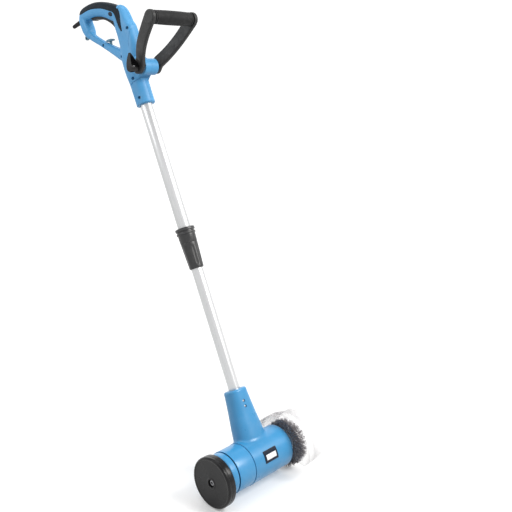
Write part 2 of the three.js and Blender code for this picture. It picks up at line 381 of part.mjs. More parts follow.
// Motor cover, with four ribs that hold the motor can.
const coverIn = DRUM_R - DRUM_WALL;
let cover = turned([[SEAM_X + GAP, coverIn], [SEAM_X + GAP, COVER_R - 0.9], [SEAM_X + 1.5, COVER_R - 0.9], [SEAM_X + 1.5, COVER_R], [DRUM_X1 - 0.6, COVER_R], [DRUM_X1, COVER_R - 0.6], [DRUM_X1, coverIn]], "x", 36);
for (let i = 0; i < 4; i++) {
  const g = new THREE.BoxGeometry(14, 2.5, coverIn - 31.2 + 1);
  g.translate(56.5, 0, (coverIn + 31.2 + 1) / 2);
  g.rotateX(Math.PI / 4 + i * Math.PI / 2);
  cover = cover.add(solid(g));
}
add("head", "motor_cover", cover, BLUE);
add("head", "end_cap", all(
  turned([[DRUM_X1 + 0.6, 0], [DRUM_X1 + 0.6, CAP_R - 2], [DRUM_X1 + 2.6, CAP_R - 2], [DRUM_X1 + 2.6, CAP_R], [CAP_X1 - 4, CAP_R], [CAP_X1 - 1, CAP_R - 1.5], [CAP_X1, CAP_R - 4.5], [CAP_X1, 0]], "x", 30)
    .subtract(ringX(97, 115, 17, CAP_R - 4, 0, 0, 24)),
  turned([[CAP_X1 - 2, 0], [CAP_X1 - 2, 13], [WHEEL_X0 - GAP, 12], [WHEEL_X0 - GAP, 0]], "x", 20, [0, 0, WHEEL_Z]),
  ringX(84, 100, 8.3, 11.5, 0, 0, 16),
).subtract(rodX(104.5, 130, 5.3, 0, WHEEL_Z, 16)), BLUE);
add("head", "motor_can", all(ringX(-30, 62, 28.4, 31, 0, 0, 24), ringX(-5, 45, 21.7, 28.6, 0, 0, 24)), STEEL);
add("head", "gearbox_plate", all(ringX(-41, -38, 3.3, 46.8, 0, 0, 28), ringX(-43, -32.5, 3.3, 7, 0, 0, 14)).subtract(all(rodX(-45, -30, 2.8, 0, IDLER_OFFSET, 12), rodX(-45, -30, 6, 30, 0, 8), rodX(-45, -30, 6, -30, 0, 8))), NYLON);
add("head", "idler_pin", rodX(-72.5, -38, 2.5, 0, IDLER_OFFSET, 12), STEEL);
add("head", "spindle_bearing", ringX(-72.6, -64.5, 7.3, 13, 0, 0, 24), STEEL);
add("head", "rear_bearing", ringX(86, 92, 3.3, 8, 0, 0, 20), STEEL);
add("head", "brush_holder", all(ringX(-26, -15, 23.5, 28.1, 0, 0, 24), box(-24, -17, -3, 3, 10.6, 25), box(-24, -17, -3, 3, -25, -10.6)), BLACK);
add("head", "wheel_axle", turned([[105, 0], [105, 5], [136.8, 5], [136.8, 7], [141.1, 7], [141.1, 0]], "x", 14, [0, 0, WHEEL_Z]).subtract(prismX(ngon(6, 3.2).map(([a, b]) => [a, b + WHEEL_Z]), 138.5, 147)), ZINC);
// Name plate, bare.
const wedge = (a0, a1, x0, x1, cz = 0, r = 200) => {
  const p = [[0, cz]];
  const n = Math.max(2, Math.ceil((a1 - a0) / 45));
  for (let i = 0; i <= n; i++) { const a = rad(a0 + (a1 - a0) * i / n); p.push([r * Math.cos(a), cz + r * Math.sin(a)]); }
  return prismX(p, x0, x1);
};
add("head", "label_plate", ringX(-25, 17, DRUM_R + GAP, DRUM_R + 1.1, 0, 0, 60).intersect(wedge(-15, 16.5, -25, 17)), NAVY);
// Clear hood over the brush: a back plate, a drum part and a tapering rim.
const hoodProfile = [[GUARD_X0, 24], [GUARD_X0, GUARD_R], [GUARD_X1, GUARD_R], [GUARD_X2, GUARD_R_END], [GUARD_X2, GUARD_R_END - GUARD_T], [GUARD_X1, GUARD_R - GUARD_T], [GUARD_X0 - GUARD_T, GUARD_R - GUARD_T], [GUARD_X0 - GUARD_T, 24]];
add("head", "brush_guard", turned(hoodProfile, "x", 44, [0, 0, GUARD_Z])
  .intersect(wedge(GUARD_A0, GUARD_A1, -160, -70, GUARD_Z))
  .subtract(all(rodX(-90, -70, 2.1, 30, 17, 10), rodX(-90, -70, 2.1, -30, 17, 10), rodX(-90, -70, 12, 0, 0, 20))), CLEAR);
[[30, 17], [-30, 17]].forEach(([y, z], i) => add("head", "guard_screw_" + (i + 1), turned([[-81, 0], [-81, 3.2], [-78.7, 3.2], [-78.7, 1.6], [-69.5, 1.6], [-69.5, 0]], "x", 12, [0, y, z]), STEEL));

// ====================================================================== rotor
function gearOutline(z, phase) {
  const r = MODULE * z / 2, rf = r - DEDENDUM * MODULE, ra = r + ADDENDUM * MODULE, rb = r * Math.cos(rad(20));
  const inv = (x) => Math.tan(x) - x, half = Math.PI / (2 * z) - BACKLASH / (2 * r);
  const at = (q) => half + inv(rad(20)) - (q > rb ? inv(Math.acos(rb / q)) : 0);
  const radii = [rf, ra], out = [];
  for (let i = 0; i < z; i++) {
    const c = phase + 2 * Math.PI * i / z;
    for (const q of radii) out.push([q * Math.cos(c - at(q)), q * Math.sin(c - at(q))]);
    for (const q of [...radii].reverse()) out.push([q * Math.cos(c + at(q)), q * Math.sin(c + at(q))]);
  }
  return out;
}
// The idler stands above the drum axis: along +Z, which is the outline's 90 degrees.
const gear = (z, phase, x0, x1, zc = 0) => prism(gearOutline(z, phase), x0, x1, V(0, 1, 0), V(0, 0, 1), V(1, 0, 0), [0, 0, zc]);
const UP = Math.PI / 2;
const phPinion = UP, phBig = -UP + Math.PI / Z_IDLER_BIG;            // tooth of the pinion faces a space
const phSmall = -UP, phOutput = UP + Math.PI / Z_OUTPUT;
add("rotor", "rotor_shaft", all(gear(Z_PINION, phPinion, -51, -45.4), rodX(-46, 94, 3, 0, 0, 16)), STEEL);
let core = rodX(-4, 44, 21, 0, 0, 20).subtract(rodX(-10, 50, 3.3, 0, 0, 16));
for (let i = 0; i < 10; i++) {
  const g = new THREE.BoxGeometry(60, 2.6, 9); g.translate(20, 0, 18.5); g.rotateX(2 * Math.PI * i / 10);
  core = core.subtract(solid(g));
}
add("rotor", "rotor_core", core, COPPER);
add("rotor", "commutator", ringX(-27, -13, 3.3, 10, 0, 0, 24), COPPER);
let fan = all(ringX(66, 68, 3.3, 38, 0, 0, 24), ringX(66, 78, 3.3, 7, 0, 0, 12));
for (let i = 0; i < 9; i++) {
  const g = new THREE.BoxGeometry(10.5, 1.6, 30); g.rotateX(rad(14)); g.translate(72.5, 0, 22); g.rotateX(2 * Math.PI * i / 9);
  fan = fan.add(solid(g));
}
add("rotor", "cooling_fan", fan, NYLON);
add("idler", "idler_gear", all(gear(Z_IDLER_SMALL, phSmall, -61.5, -50.8, IDLER_OFFSET), gear(Z_IDLER_BIG, phBig, -51, -46, IDLER_OFFSET)).subtract(rodX(-70, -40, 2.8, 0, IDLER_OFFSET, 12)), NYLON);

// ==================================================================== spindle
add("spindle", "output_gear", gear(Z_OUTPUT, phOutput, -61, -53.2).subtract(rodX(-70, -40, 5, 0, 0, 16)), STEEL);
add("spindle", "spindle", turned([[-84, 0], [-84, 7], [-62, 7], [-62, 4.7], [-52.3, 4.7], [-52.3, 0]], "x", 20).subtract(prismX(ngon(6, 4.9), -90, -65)), STEEL);
add("spindle", "brush_shank", all(prismX(ngon(6, 4.5), -120.2, -66), rodX(-95.5, -93.1, 12, 0, 0, 20), rodX(-120.2, -115.6, 9, 0, 0, 6)).subtract(ringX(-74, -71, 3.6, 8, 0, 0, 12)), ZINC);
add("spindle", "brush_plate_inner", turned([[-96.9, 5.2], [-96.9, 16], [-98.7, 26], [-98.7, 31.5], [-97.7, 31.5], [-97.7, 26], [-95.9, 16], [-95.9, 5.2]], "x", 18), ZINC);
add("spindle", "brush_plate_outer", turned([[-115.1, 5.2], [-115.1, 16], [-113.3, 26], [-113.3, 31.5], [-112.3, 31.5], [-112.3, 26], [-114.1, 16], [-114.1, 5.2]], "x", 18), ZINC);
add("spindle", "bristle_ring", turned([[-99, 17], [-99, 33], [-95.6, 45], [BRUSH_X0, BRUSH_R], [BRUSH_X1, BRUSH_R], [-115.4, 45], [-112, 33], [-112, 17]], "x", 28), BRISTLE);

// ====================================================================== wheel
add("wheel", "wheel", turned([[WHEEL_X0, 5.4], [WHEEL_X0, 13.5], [130, 14.5], [130.5, WHEEL_R - 12], [WHEEL_X0 + 0.5, WHEEL_R - 9], [WHEEL_X0 + 0.5, WHEEL_R - 2.4], [WHEEL_X0 + 2.6, WHEEL_R], [140.7, WHEEL_R], [143.5, WHEEL_R - 1.8], [WHEEL_X1, WHEEL_R - 4.2], [WHEEL_X1, 9], [136.5, 8.4], [136.5, 5.4]], "x", 32, [0, 0, WHEEL_Z]), BLACK);

// ================================================================= the stance
stance.rotation.x = LEAN;
const [, gy, gz] = GRIP_POINT;
stance.position.set(0, -(gy * Math.cos(LEAN) - gz * Math.sin(LEAN)), -(gy * Math.sin(LEAN) + gz * Math.cos(LEAN)));

export default part;
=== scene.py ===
import json
import math
import random

import bmesh
import bpy
import numpy as np
from mathutils import Matrix, Vector


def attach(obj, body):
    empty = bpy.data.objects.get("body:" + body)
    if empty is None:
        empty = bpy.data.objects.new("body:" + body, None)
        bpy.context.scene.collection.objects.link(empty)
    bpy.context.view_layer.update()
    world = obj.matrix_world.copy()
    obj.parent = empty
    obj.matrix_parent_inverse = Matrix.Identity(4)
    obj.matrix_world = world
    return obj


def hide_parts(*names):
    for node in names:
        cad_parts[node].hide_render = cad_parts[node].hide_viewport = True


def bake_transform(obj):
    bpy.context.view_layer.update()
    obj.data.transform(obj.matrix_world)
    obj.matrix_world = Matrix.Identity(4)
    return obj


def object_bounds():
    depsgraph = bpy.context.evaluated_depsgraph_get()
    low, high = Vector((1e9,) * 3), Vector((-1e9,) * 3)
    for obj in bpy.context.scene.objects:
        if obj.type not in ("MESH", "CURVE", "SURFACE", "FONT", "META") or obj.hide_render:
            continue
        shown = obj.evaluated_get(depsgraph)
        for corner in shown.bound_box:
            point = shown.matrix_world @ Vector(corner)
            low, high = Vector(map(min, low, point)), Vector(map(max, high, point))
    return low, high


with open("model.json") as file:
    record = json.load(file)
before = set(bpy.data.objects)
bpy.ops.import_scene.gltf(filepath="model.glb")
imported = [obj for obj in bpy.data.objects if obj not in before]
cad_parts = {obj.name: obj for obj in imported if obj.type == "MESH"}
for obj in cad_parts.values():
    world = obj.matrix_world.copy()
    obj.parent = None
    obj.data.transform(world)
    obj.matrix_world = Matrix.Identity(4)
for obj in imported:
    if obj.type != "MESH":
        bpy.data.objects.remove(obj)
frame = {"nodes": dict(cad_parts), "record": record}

CAD_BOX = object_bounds()
SCENE = bpy.context.scene
RNG = random.Random(11)

# ------------------------------------------------------------------ the frame
# Every piece is drawn in millimetres in the tool's own frame (origin where the
# shaft axis crosses the drum axis, shaft along +Z, +X towards the guide wheel),
# and then leaned into the working stance.
LEAN = math.radians(24.6)
GRIP_POINT = (0.0, -62.0, 1163.0)
_c, _s = math.cos(LEAN), math.sin(LEAN)
STANCE = Matrix.Rotation(LEAN, 4, "X")
STANCE.translation = Vector((
    0,
    -(GRIP_POINT[1] * _c - GRIP_POINT[2] * _s),
    -(GRIP_POINT[1] * _s + GRIP_POINT[2] * _c),
)) * 0.001

DRUM_R, DRUM_X0, SEAM_X, DRUM_X1 = 50.4, -76.0, 48.0, 98.0
COVER_R, CAP_R, CAP_X1, WHEEL_R, WHEEL_Z = 49.5, 48.3, 119.0, 58.5, -5.0
GUARD_Z = -11.0
BOSS_Y, BOSS_Z, BOSS_R, BOSS_HALF = 46.0, 957.5, 19.7, 19.5
BAR_Y, BAR_Z, ARM_X0, ARM_X1, ARM_HW, ARM_HT = 175.6, 1016.8, 27.0, 62.6, 17.2, 5.0
SLEEVE_R, CORE_R = 16.4, 10.0

GRIP = [[-134, 1166, 15, 14, 2.6], [-121, 1178.5, 17.5, 16, 2.6], [-100, 1175, 18.5, 17, 2.7], [-76.7, 1169, 18.5, 17.5, 2.7], [-47, 1155, 18.5, 17.5, 2.7], [-28, 1142, 19, 17.5, 2.7], [-9, 1126, 20, 17.3, 2.7], [8, 1110, 18, 16.5, 2.7]]
REAR = [[-124, 1180, 11, 13, 3], [-132, 1165, 14, 15, 3.4], [-131, 1147, 14, 15, 3.4], [-128.5, 1132, 13, 14, 3.2], [-124.5, 1121, 9, 11, 2.6]]
STRUT = [[-131, 1130, 9, 10, 2.6], [-118, 1113, 8.5, 9.8, 2.8], [-95, 1089, 8, 9.3, 2.8], [-72, 1066, 9, 9.8, 2.8], [-47, 1042, 11, 12.5, 2.8], [-20, 1018, 15, 16, 2.8], [0, 1000, 16, 18, 2.8]]
SPINE = [[0, 862, 22.9, 22.9, 2], [0, 884, 23.0, 23.0, 2], [0, 930, 23.2, 23.2, 2], [1, 965, 27, 25, 2.1], [7, 1005, 33, 22.5, 2.5], [13, 1042, 30, 19, 3], [13.2, 1068, 29.4, 18, 3], [10.5, 1086, 25.8, 18, 3], [10, 1112, 22.6, 16.8, 2.7], [11, 1128, 15, 12, 2.2], [12, 1133, 8, 7, 2]]
SCREWS = [[34, 1064, 11.5, -11], [-80.8, 1074.3, 6.4, -6.2], [-14.8, 1012.5, 13.2, -13], [8, 945, 18.4, 14.7], [8, 895, 18.4, 14.7]]
NECK = [[24, 41, 32, 2.3], [46, 40.2, 31, 2.3], [70, 38, 29, 2.35], [100, 33.6, 27, 2.4], [130, 29.3, 25.2, 2.5], [152, 26.6, 24.2, 2.6], [162.6, 25.8, 23.8, 2.7]]
SLOT = [[-101, 1140], [-88, 1140], [-75, 1134], [-52, 1120], [-38, 1108], [-28, 1095], [-21, 1086], [-9.5, 1087], [-6.5, 1104], [-12, 1118], [-22, 1131], [-34, 1141.5], [-48, 1150], [-60, 1156], [-74, 1161], [-88, 1163], [-101, 1163.5]]
TRIG_LOW = [[-97, 1150], [-85, 1146.5], [-74, 1142], [-62, 1136], [-51, 1129.5], [-42, 1122.5], [-35, 1115.5], [-28, 1107.5], [-22, 1099], [-18.5, 1091]]
TRIG_TOP = [[-13, 1094], [-12, 1103], [-19, 1113], [-27, 1123], [-36, 1131.5], [-46, 1139], [-58, 1146], [-72, 1152.5], [-86, 1157.5], [-97, 1160]]
PAD = [[-137.5, 1184.5], [-120.6, 1179.3], [-98.9, 1175.6], [-74.9, 1169.2], [-44.5, 1155.4], [-25, 1143], [-12, 1132.8], [0, 1123], [5.5, 1112], [6.5, 1096], [8.0, 1080], [11.5, 1065.5], [16.5, 1064], [19.3, 1080], [23, 1097], [24, 1110], [21, 1121], [14, 1129], [12, 1160], [-40, 1215], [-137.5, 1215]]
LOCK_AT = (0.0, -9.0, 1122.0)
GRIP_DIR, GRIP_UP = (0, 0.78, -0.626), (0, 0.626, 0.78)


# ------------------------------------------------------------ number helpers
def pchip(t, y, q):
    """Smooth curve through rows that never overshoots them."""
    t, y, q = np.asarray(t, float), np.asarray(y, float), np.asarray(q, float)
    h = np.diff(t)[:, None]
    d = np.diff(y, axis=0) / h
    m = np.zeros_like(y)
    for i in range(1, len(t) - 1):
        same = d[i - 1] * d[i] > 0
        w1, w2 = 2 * h[i] + h[i - 1], 2 * h[i - 1] + h[i]
        with np.errstate(divide="ignore", invalid="ignore"):
            m[i] = np.where(same, (w1 + w2) / (w1 / d[i - 1] + w2 / d[i]), 0)
    m[0], m[-1] = d[0], d[-1]
    k = np.clip(np.searchsorted(t, q, side="right") - 1, 0, len(t) - 2)
    u = ((q - t[k]) / h[k, 0])[:, None]
    return (2 * u**3 - 3 * u**2 + 1) * y[k] + (u**3 - 2 * u**2 + u) * h[k] * m[k] + (-2 * u**3 + 3 * u**2) * y[k + 1] + (u**3 - u**2) * h[k] * m[k + 1]


def dense(rows, count, key=2):
    rows = np.asarray(rows, float)
    step = np.linalg.norm(np.diff(rows[:, :key], axis=0), axis=1)
    t = np.concatenate([[0], np.cumsum(step)])
    return pchip(t, rows, np.linspace(0, t[-1], count))


def smooth_line(points, per=5):
    """Catmull-Rom line through 2D points, ends kept."""
    p = [np.array(q, float) for q in points]
    p = [2 * p[0] - p[1]] + p + [2 * p[-1] - p[-2]]
    out = []
    for i in range(1, len(p) - 2):
        for j in range(per):
            u = j / per
            out.append(0.5 * (2 * p[i] + (p[i + 1] - p[i - 1]) * u + (2 * p[i - 1] - 5 * p[i] + 4 * p[i + 1] - p[i + 2]) * u * u + (3 * p[i] - p[i - 1] - 3 * p[i + 1] + p[i + 2]) * u**3))
    out.append(p[-2])
    return [tuple(q) for q in out]


def rounded(points, radius, steps=4, closed=False):
    """Corners of a line rounded. radius is one number or one per point."""
    n = len(points)
    radii = [radius] * n if isinstance(radius, (int, float)) else radius
    out = []
    for i, p in enumerate(points):
        p = np.array(p, float)
        if (not closed and i in (0, n - 1)) or radii[i] <= 0:
            out.append(tuple(p))
            continue
        a, b = np.array(points[i - 1], float) - p, np.array(points[(i + 1) % n], float) - p
        la, lb = np.linalg.norm(a), np.linalg.norm(b)
        if la < 1e-6 or lb < 1e-6:
            out.append(tuple(p))
            continue
        cosine = float(np.clip(a @ b / la / lb, -1, 1))
        if cosine < -0.999:
            out.append(tuple(p))
            continue
        half = math.acos(cosine) / 2
        d = min(radii[i] / max(math.tan(half), 0.05), 0.47 * la, 0.47 * lb)
        s, e = p + a / la * d, p + b / lb * d
        for j in range(steps + 1):
            u = j / steps
            w = 0.5 + 0.5 * math.sin(half)  # close to an arc for any corner
            k = 2 * (1 - u) * u * w
            q = ((1 - u) ** 2 * s + k * p + u**2 * e) / ((1 - u) ** 2 + k + u**2)
            out.append(tuple(q))
    return out


def oval(a, b, n=48, power=2.0):
    out = []
    for i in range(n):
        t = 2 * math.pi * i / n
        ct, st = math.cos(t), math.sin(t)
        out.append((a * math.copysign(abs(ct) ** (2 / power), ct), b * math.copysign(abs(st) ** (2 / power), st)))
    return out


def ngon(n, r, turn=0.0):
    return [(r * math.cos(turn + 2 * math.pi * i / n), r * math.sin(turn + 2 * math.pi * i / n)) for i in range(n)]


# -------------------------------------------------------------- mesh helpers
def link(me, name="tmp"):
    ob = bpy.data.objects.new(name, me)
    SCENE.collection.objects.link(ob)
    return ob


def from_bm(bm, name="tmp", recalc=True):
    if recalc:
        bmesh.ops.recalc_face_normals(bm, faces=bm.faces[:])
    me = bpy.data.meshes.new(name)
    bm.to_mesh(me)
    bm.free()
    return link(me, name)


def drop(*objects):
    for o in objects:
        me = o.data
        bpy.data.objects.remove(o)
        if me.users == 0:
            bpy.data.meshes.remove(me)


def copy_of(ob):
    return link(ob.data.copy())


def grid(rows, close_u=False, close_v=True, poles=(None, None), caps=(False, False)):
    """A skin from rows of points. close_v joins each row's ends, close_u joins the last row to the first."""
    bm = bmesh.new()
    ring = [[bm.verts.new(p) for p in row] for row in rows]
    m = len(rows[0])
    span = range(len(ring) if close_u else len(ring) - 1)
    for j in span:
        a, b = ring[j], ring[(j + 1) % len(ring)]
        for i in range(m if close_v else m - 1):
            k = (i + 1) % m
            bm.faces.new((a[i], a[k], b[k], b[i]))
    for end, at in ((0, poles[0]), (-1, poles[1])):
        if at is not None:
            v = bm.verts.new(at)
            for i in range(m):
                bm.faces.new((ring[end][i], ring[end][(i + 1) % m], v))
    for end, yes in ((0, caps[0]), (-1, caps[1])):
        if yes:
            bm.faces.new(ring[end])
    return from_bm(bm)


def lathe(profile, axis="x", segs=96, at=(0, 0, 0), wave=None):
    """A profile [(along, radius), ...] turned about an axis. A profile that touches the axis at both ends is
    solid; any other is a closed ring. wave(angle, along, radius) may change a radius."""
    solid = profile[0][1] < 1e-6 and profile[-1][1] < 1e-6
    pts = profile[1:-1] if solid else profile
    rows = []
    for a, r in pts:
        row = []
        for i in range(segs):
            t = 2 * math.pi * i / segs
            q = wave(t, a, r) if wave else r
            u, v = q * math.cos(t), q * math.sin(t)
            row.append((at[0] + a, at[1] + u, at[2] + v) if axis == "x" else (at[0] + u, at[1] + v, at[2] + a))
        rows.append(row)
    ends = [None, None]
    if solid:
        for k, (a, _) in enumerate((profile[0], profile[-1])):
            ends[k] = (at[0] + a, at[1], at[2]) if axis == "x" else (at[0], at[1], at[2] + a)
    return grid(rows, close_u=not solid, poles=ends)


def rod(x0, x1, r, y=0.0, z=0.0, segs=48, axis="x", edge=0.0):
    prof = [(x0, 0), (x0, r), (x1, r), (x1, 0)]
    if edge:
        prof = rounded(prof, edge, 3)
    return lathe(prof, axis, segs, (0, y, z) if axis == "x" else (y, z, 0))


def prism(outline, w0, w1, u=(0, 1, 0), v=(0, 0, 1), w=(1, 0, 0), at=(0, 0, 0), edge=0.0, steps=3):
    """An outline [(u, v), ...] pushed from w0 to w1, its rims rounded by edge."""
    u, v, w, at = Vector(u), Vector(v), Vector(w), Vector(at)
    bm = bmesh.new()
    low = [bm.verts.new(at + u * a + v * b + w * w0) for a, b in outline]
    top = [bm.verts.new(at + u * a + v * b + w * w1) for a, b in outline]
    n = len(outline)
    rim = []
    bm.faces.new(low)
    bm.faces.new(top)
    for i in range(n):
        k = (i + 1) % n
        bm.faces.new((low[i], low[k], top[k], top[i]))
    if edge:
        rim = [e for e in bm.edges if all(x in low for x in e.verts) or all(x in top for x in e.verts)]
        bmesh.ops.bevel(bm, geom=rim, offset=edge, offset_type="OFFSET", segments=steps, profile=0.5, affect="EDGES", clamp_overlap=True)
    return from_bm(bm)


def block(x0, x1, y0, y1, z0, z1, edge=0.0):
    return prism([(y0, z0), (y1, z0), (y1, z1), (y0, z1)], x0, x1, edge=edge)


def loft(stations, sides=64, caps=True):
    rows = []
    for s in stations:
        c, u, v = Vector(s[0]), Vector(s[1]), Vector(s[2])
        rows.append([tuple(c + u * x + v * y) for x, y in oval(s[3], s[4], sides, s[5])])
    return grid(rows, caps=(caps, caps))


def path_stations(rows, inset=0.0, count=60):
    d = dense(rows, count)
    t = np.gradient(d[:, :2], axis=0)
    t /= np.linalg.norm(t, axis=1)[:, None]
    return [((0, r[0], r[1]), (0, -k[1], k[0]), (1, 0, 0), max(r[2] - inset, 0.8), max(r[3] - inset, 0.8), r[4]) for r, k in zip(d, t)]


def level_stations(rows, inset=0.0, count=90):
    rows = np.asarray(rows, float)
    z = np.linspace(rows[0, 1], rows[-1, 1], count)
    d = pchip(rows[:, 1], rows, z)
    return [((0, r[0], r[1]), (0, 1, 0), (1, 0, 0), max(r[2] - inset, 0.8), max(r[3] - inset, 0.8), r[4]) for r in d]


def baked(ob):
    """The object's mesh with its modifiers applied."""
    bpy.context.view_layer.update()
    dg = bpy.context.evaluated_depsgraph_get()
    me = bpy.data.meshes.new_from_object(ob.evaluated_get(dg), depsgraph=dg)
    ob.modifiers.clear()
    old = ob.data
    ob.data = me
    if old.users == 0:
        bpy.data.meshes.remove(old)
    return ob


def boolean(a, b, operation, keep=False):
    m = a.modifiers.new("cut", "BOOLEAN")
    m.operation = operation
    m.object = b
    m.solver = "MANIFOLD"
    before = len(a.data.vertices)
    baked(a)
    if len(a.data.vertices) == 0:
        raise RuntimeError(f"{operation} left nothing of a mesh of {before} vertices")
    if not keep:
        drop(b)
    return a


def cut(a, *others):
    for b in others:
        boolean(a, b, "DIFFERENCE")
    return a


def join(a, *others):
    for b in others:
        boolean(a, b, "UNION")
    return a


def meet(a, b):
    return boolean(a, b, "INTERSECT")


def heap(*objects):
    """Several closed skins as one mesh, not united."""
    bm = bmesh.new()
    for o in objects:
        bm.from_mesh(o.data)
    drop(*objects)
    return from_bm(bm, recalc=False)


def remesh(ob, voxel):
    m = ob.modifiers.new("voxel", "REMESH")
    m.mode = "VOXEL"
    m.voxel_size = voxel
    return baked(ob)


def coords(me):
    a = np.empty(len(me.vertices) * 3, np.float32)
    me.vertices.foreach_get("co", a)
    return a.reshape(-1, 3).astype(float)


def set_coords(me, a):
    me.vertices.foreach_set("co", np.ascontiguousarray(a, np.float32).ravel())
    me.update()


def relax(ob, times, factor=0.5, volume=False):
    """Laplacian smoothing; with volume, a second step outward keeps the size."""
    me = ob.data
    e = np.empty(len(me.edges) * 2, np.int32)
    me.edges.foreach_get("vertices", e)
    e = e.reshape(-1, 2)
    n = len(me.vertices)
    count = np.bincount(e.ravel(), minlength=n).astype(float)[:, None]
    p = coords(me)

    def step(p, k):
        s = np.empty_like(p)
        for i in range(3):
            s[:, i] = np.bincount(e[:, 0], p[e[:, 1], i], n) + np.bincount(e[:, 1], p[e[:, 0], i], n)
        return p + k * (s / np.maximum(count, 1) - p)

    for _ in range(times):
        p = step(p, factor)
        if volume:
            p = step(p, -factor * 1.04)
    set_coords(me, p)
    return ob


def normals(me):
    a = np.empty(len(me.vertices) * 3, np.float32)
    me.vertex_normals.foreach_get("vector", a)
    return a.reshape(-1, 3).astype(float)


# --------------------------------------------------------- smooth skin fields
def radial(u, v, w, a, b, n, cap):
    g = (np.abs(u / a) ** n + np.abs(v / b) ** n + np.abs(w / cap) ** n) ** (1 / n)
    r = np.sqrt(u * u + v * v + w * w)
    return r - r / np.maximum(g, 1e-6)


def path_field(rows, cap=4.0, count=140):
    d = dense(rows, count)
    c = d[:, :2]
    t = np.gradient(c, axis=0)
    t /= np.linalg.norm(t, axis=1)[:, None]
    cc = (c**2).sum(1)

    def f(P):
        X = P[:, 1:3]
        best = np.empty(len(X), int)
        for k in range(0, len(X), 40000):
            q = X[k:k + 40000]
            best[k:k + 40000] = np.argmin(cc[None] - 2 * q @ c.T, axis=1)
        along = ((X - c[best]) * t[best]).sum(1)
        side = np.clip(best + np.sign(along).astype(int), 0, count - 1)
        gap = np.maximum(np.linalg.norm(c[side] - c[best], axis=1), 1e-6)
        k = np.where(side == best, 0, np.clip(np.abs(along) / gap, 0, 1))[:, None]
        r = d[best] * (1 - k) + d[side] * k
        tt = t[best] * (1 - k) + t[side] * k
        tt /= np.linalg.norm(tt, axis=1)[:, None]
        q = X - r[:, :2]
        u = -q[:, 0] * tt[:, 1] + q[:, 1] * tt[:, 0]
        over = (q * tt).sum(1)
        over = np.where(((best == 0) & (over < 0)) | ((best == count - 1) & (over > 0)), over, 0)
        return radial(u, P[:, 0], over, r[:, 2], r[:, 3], r[:, 4], cap)

    return f


def level_field(rows, cap=2.0, swap=False):
    rows = np.asarray(rows, float)
    z = np.linspace(rows[0, 1], rows[-1, 1], 400)
    d = pchip(rows[:, 1], rows, z)

    def f(P):
        q = np.clip(P[:, 2], z[0], z[-1])
        cy, a, b, n = (np.interp(q, z, d[:, k]) for k in (0, 2, 3, 4))
        return radial(P[:, 1] - cy, P[:, 0], P[:, 2] - q, a, b, n, cap)

    return f


def to_line(points, Y, Z):
    """Signed distance in the middle plane to a closed outline, negative inside."""
    p = np.array(points, float)
    best = np.full(len(Y), 1e9)
    inside = np.zeros(len(Y), bool)
    for (ay, az), (by, bz) in zip(p, np.roll(p, -1, axis=0)):
        ey, ez = by - ay, bz - az
        k = np.clip(((Y - ay) * ey + (Z - az) * ez) / max(ey * ey + ez * ez, 1e-9), 0, 1)
        best = np.minimum(best, np.hypot(Y - ay - k * ey, Z - az - k * ez))
        hit = ((az > Z) != (bz > Z)) & (Y < (by - ay) * (Z - az) / (bz - az + 1e-12) + ay)
        inside ^= hit
    return np.where(inside, -best, best)


def smin(a, b, k):
    h = np.maximum(k - np.abs(a - b), 0) / k
    return np.minimum(a, b) - h * h * k / 4


def smax(a, b, k):
    return -smin(-a, -b, k)


def snap(ob, field, times=3, most=1.2):
    """Moves every vertex onto the field's zero surface."""
    p = coords(ob.data)
    e = 0.06
    for _ in range(times):
        g = np.stack([(field(p + d) - field(p - d)) / (2 * e) for d in np.eye(3) * e], axis=1)
        step = field(p)[:, None] * g / np.maximum((g * g).sum(1), 0.15)[:, None]
        size = np.linalg.norm(step, axis=1)[:, None]
        p = p - step * np.minimum(1, most / np.maximum(size, 1e-9))
    set_coords(ob.data, p)
    return ob


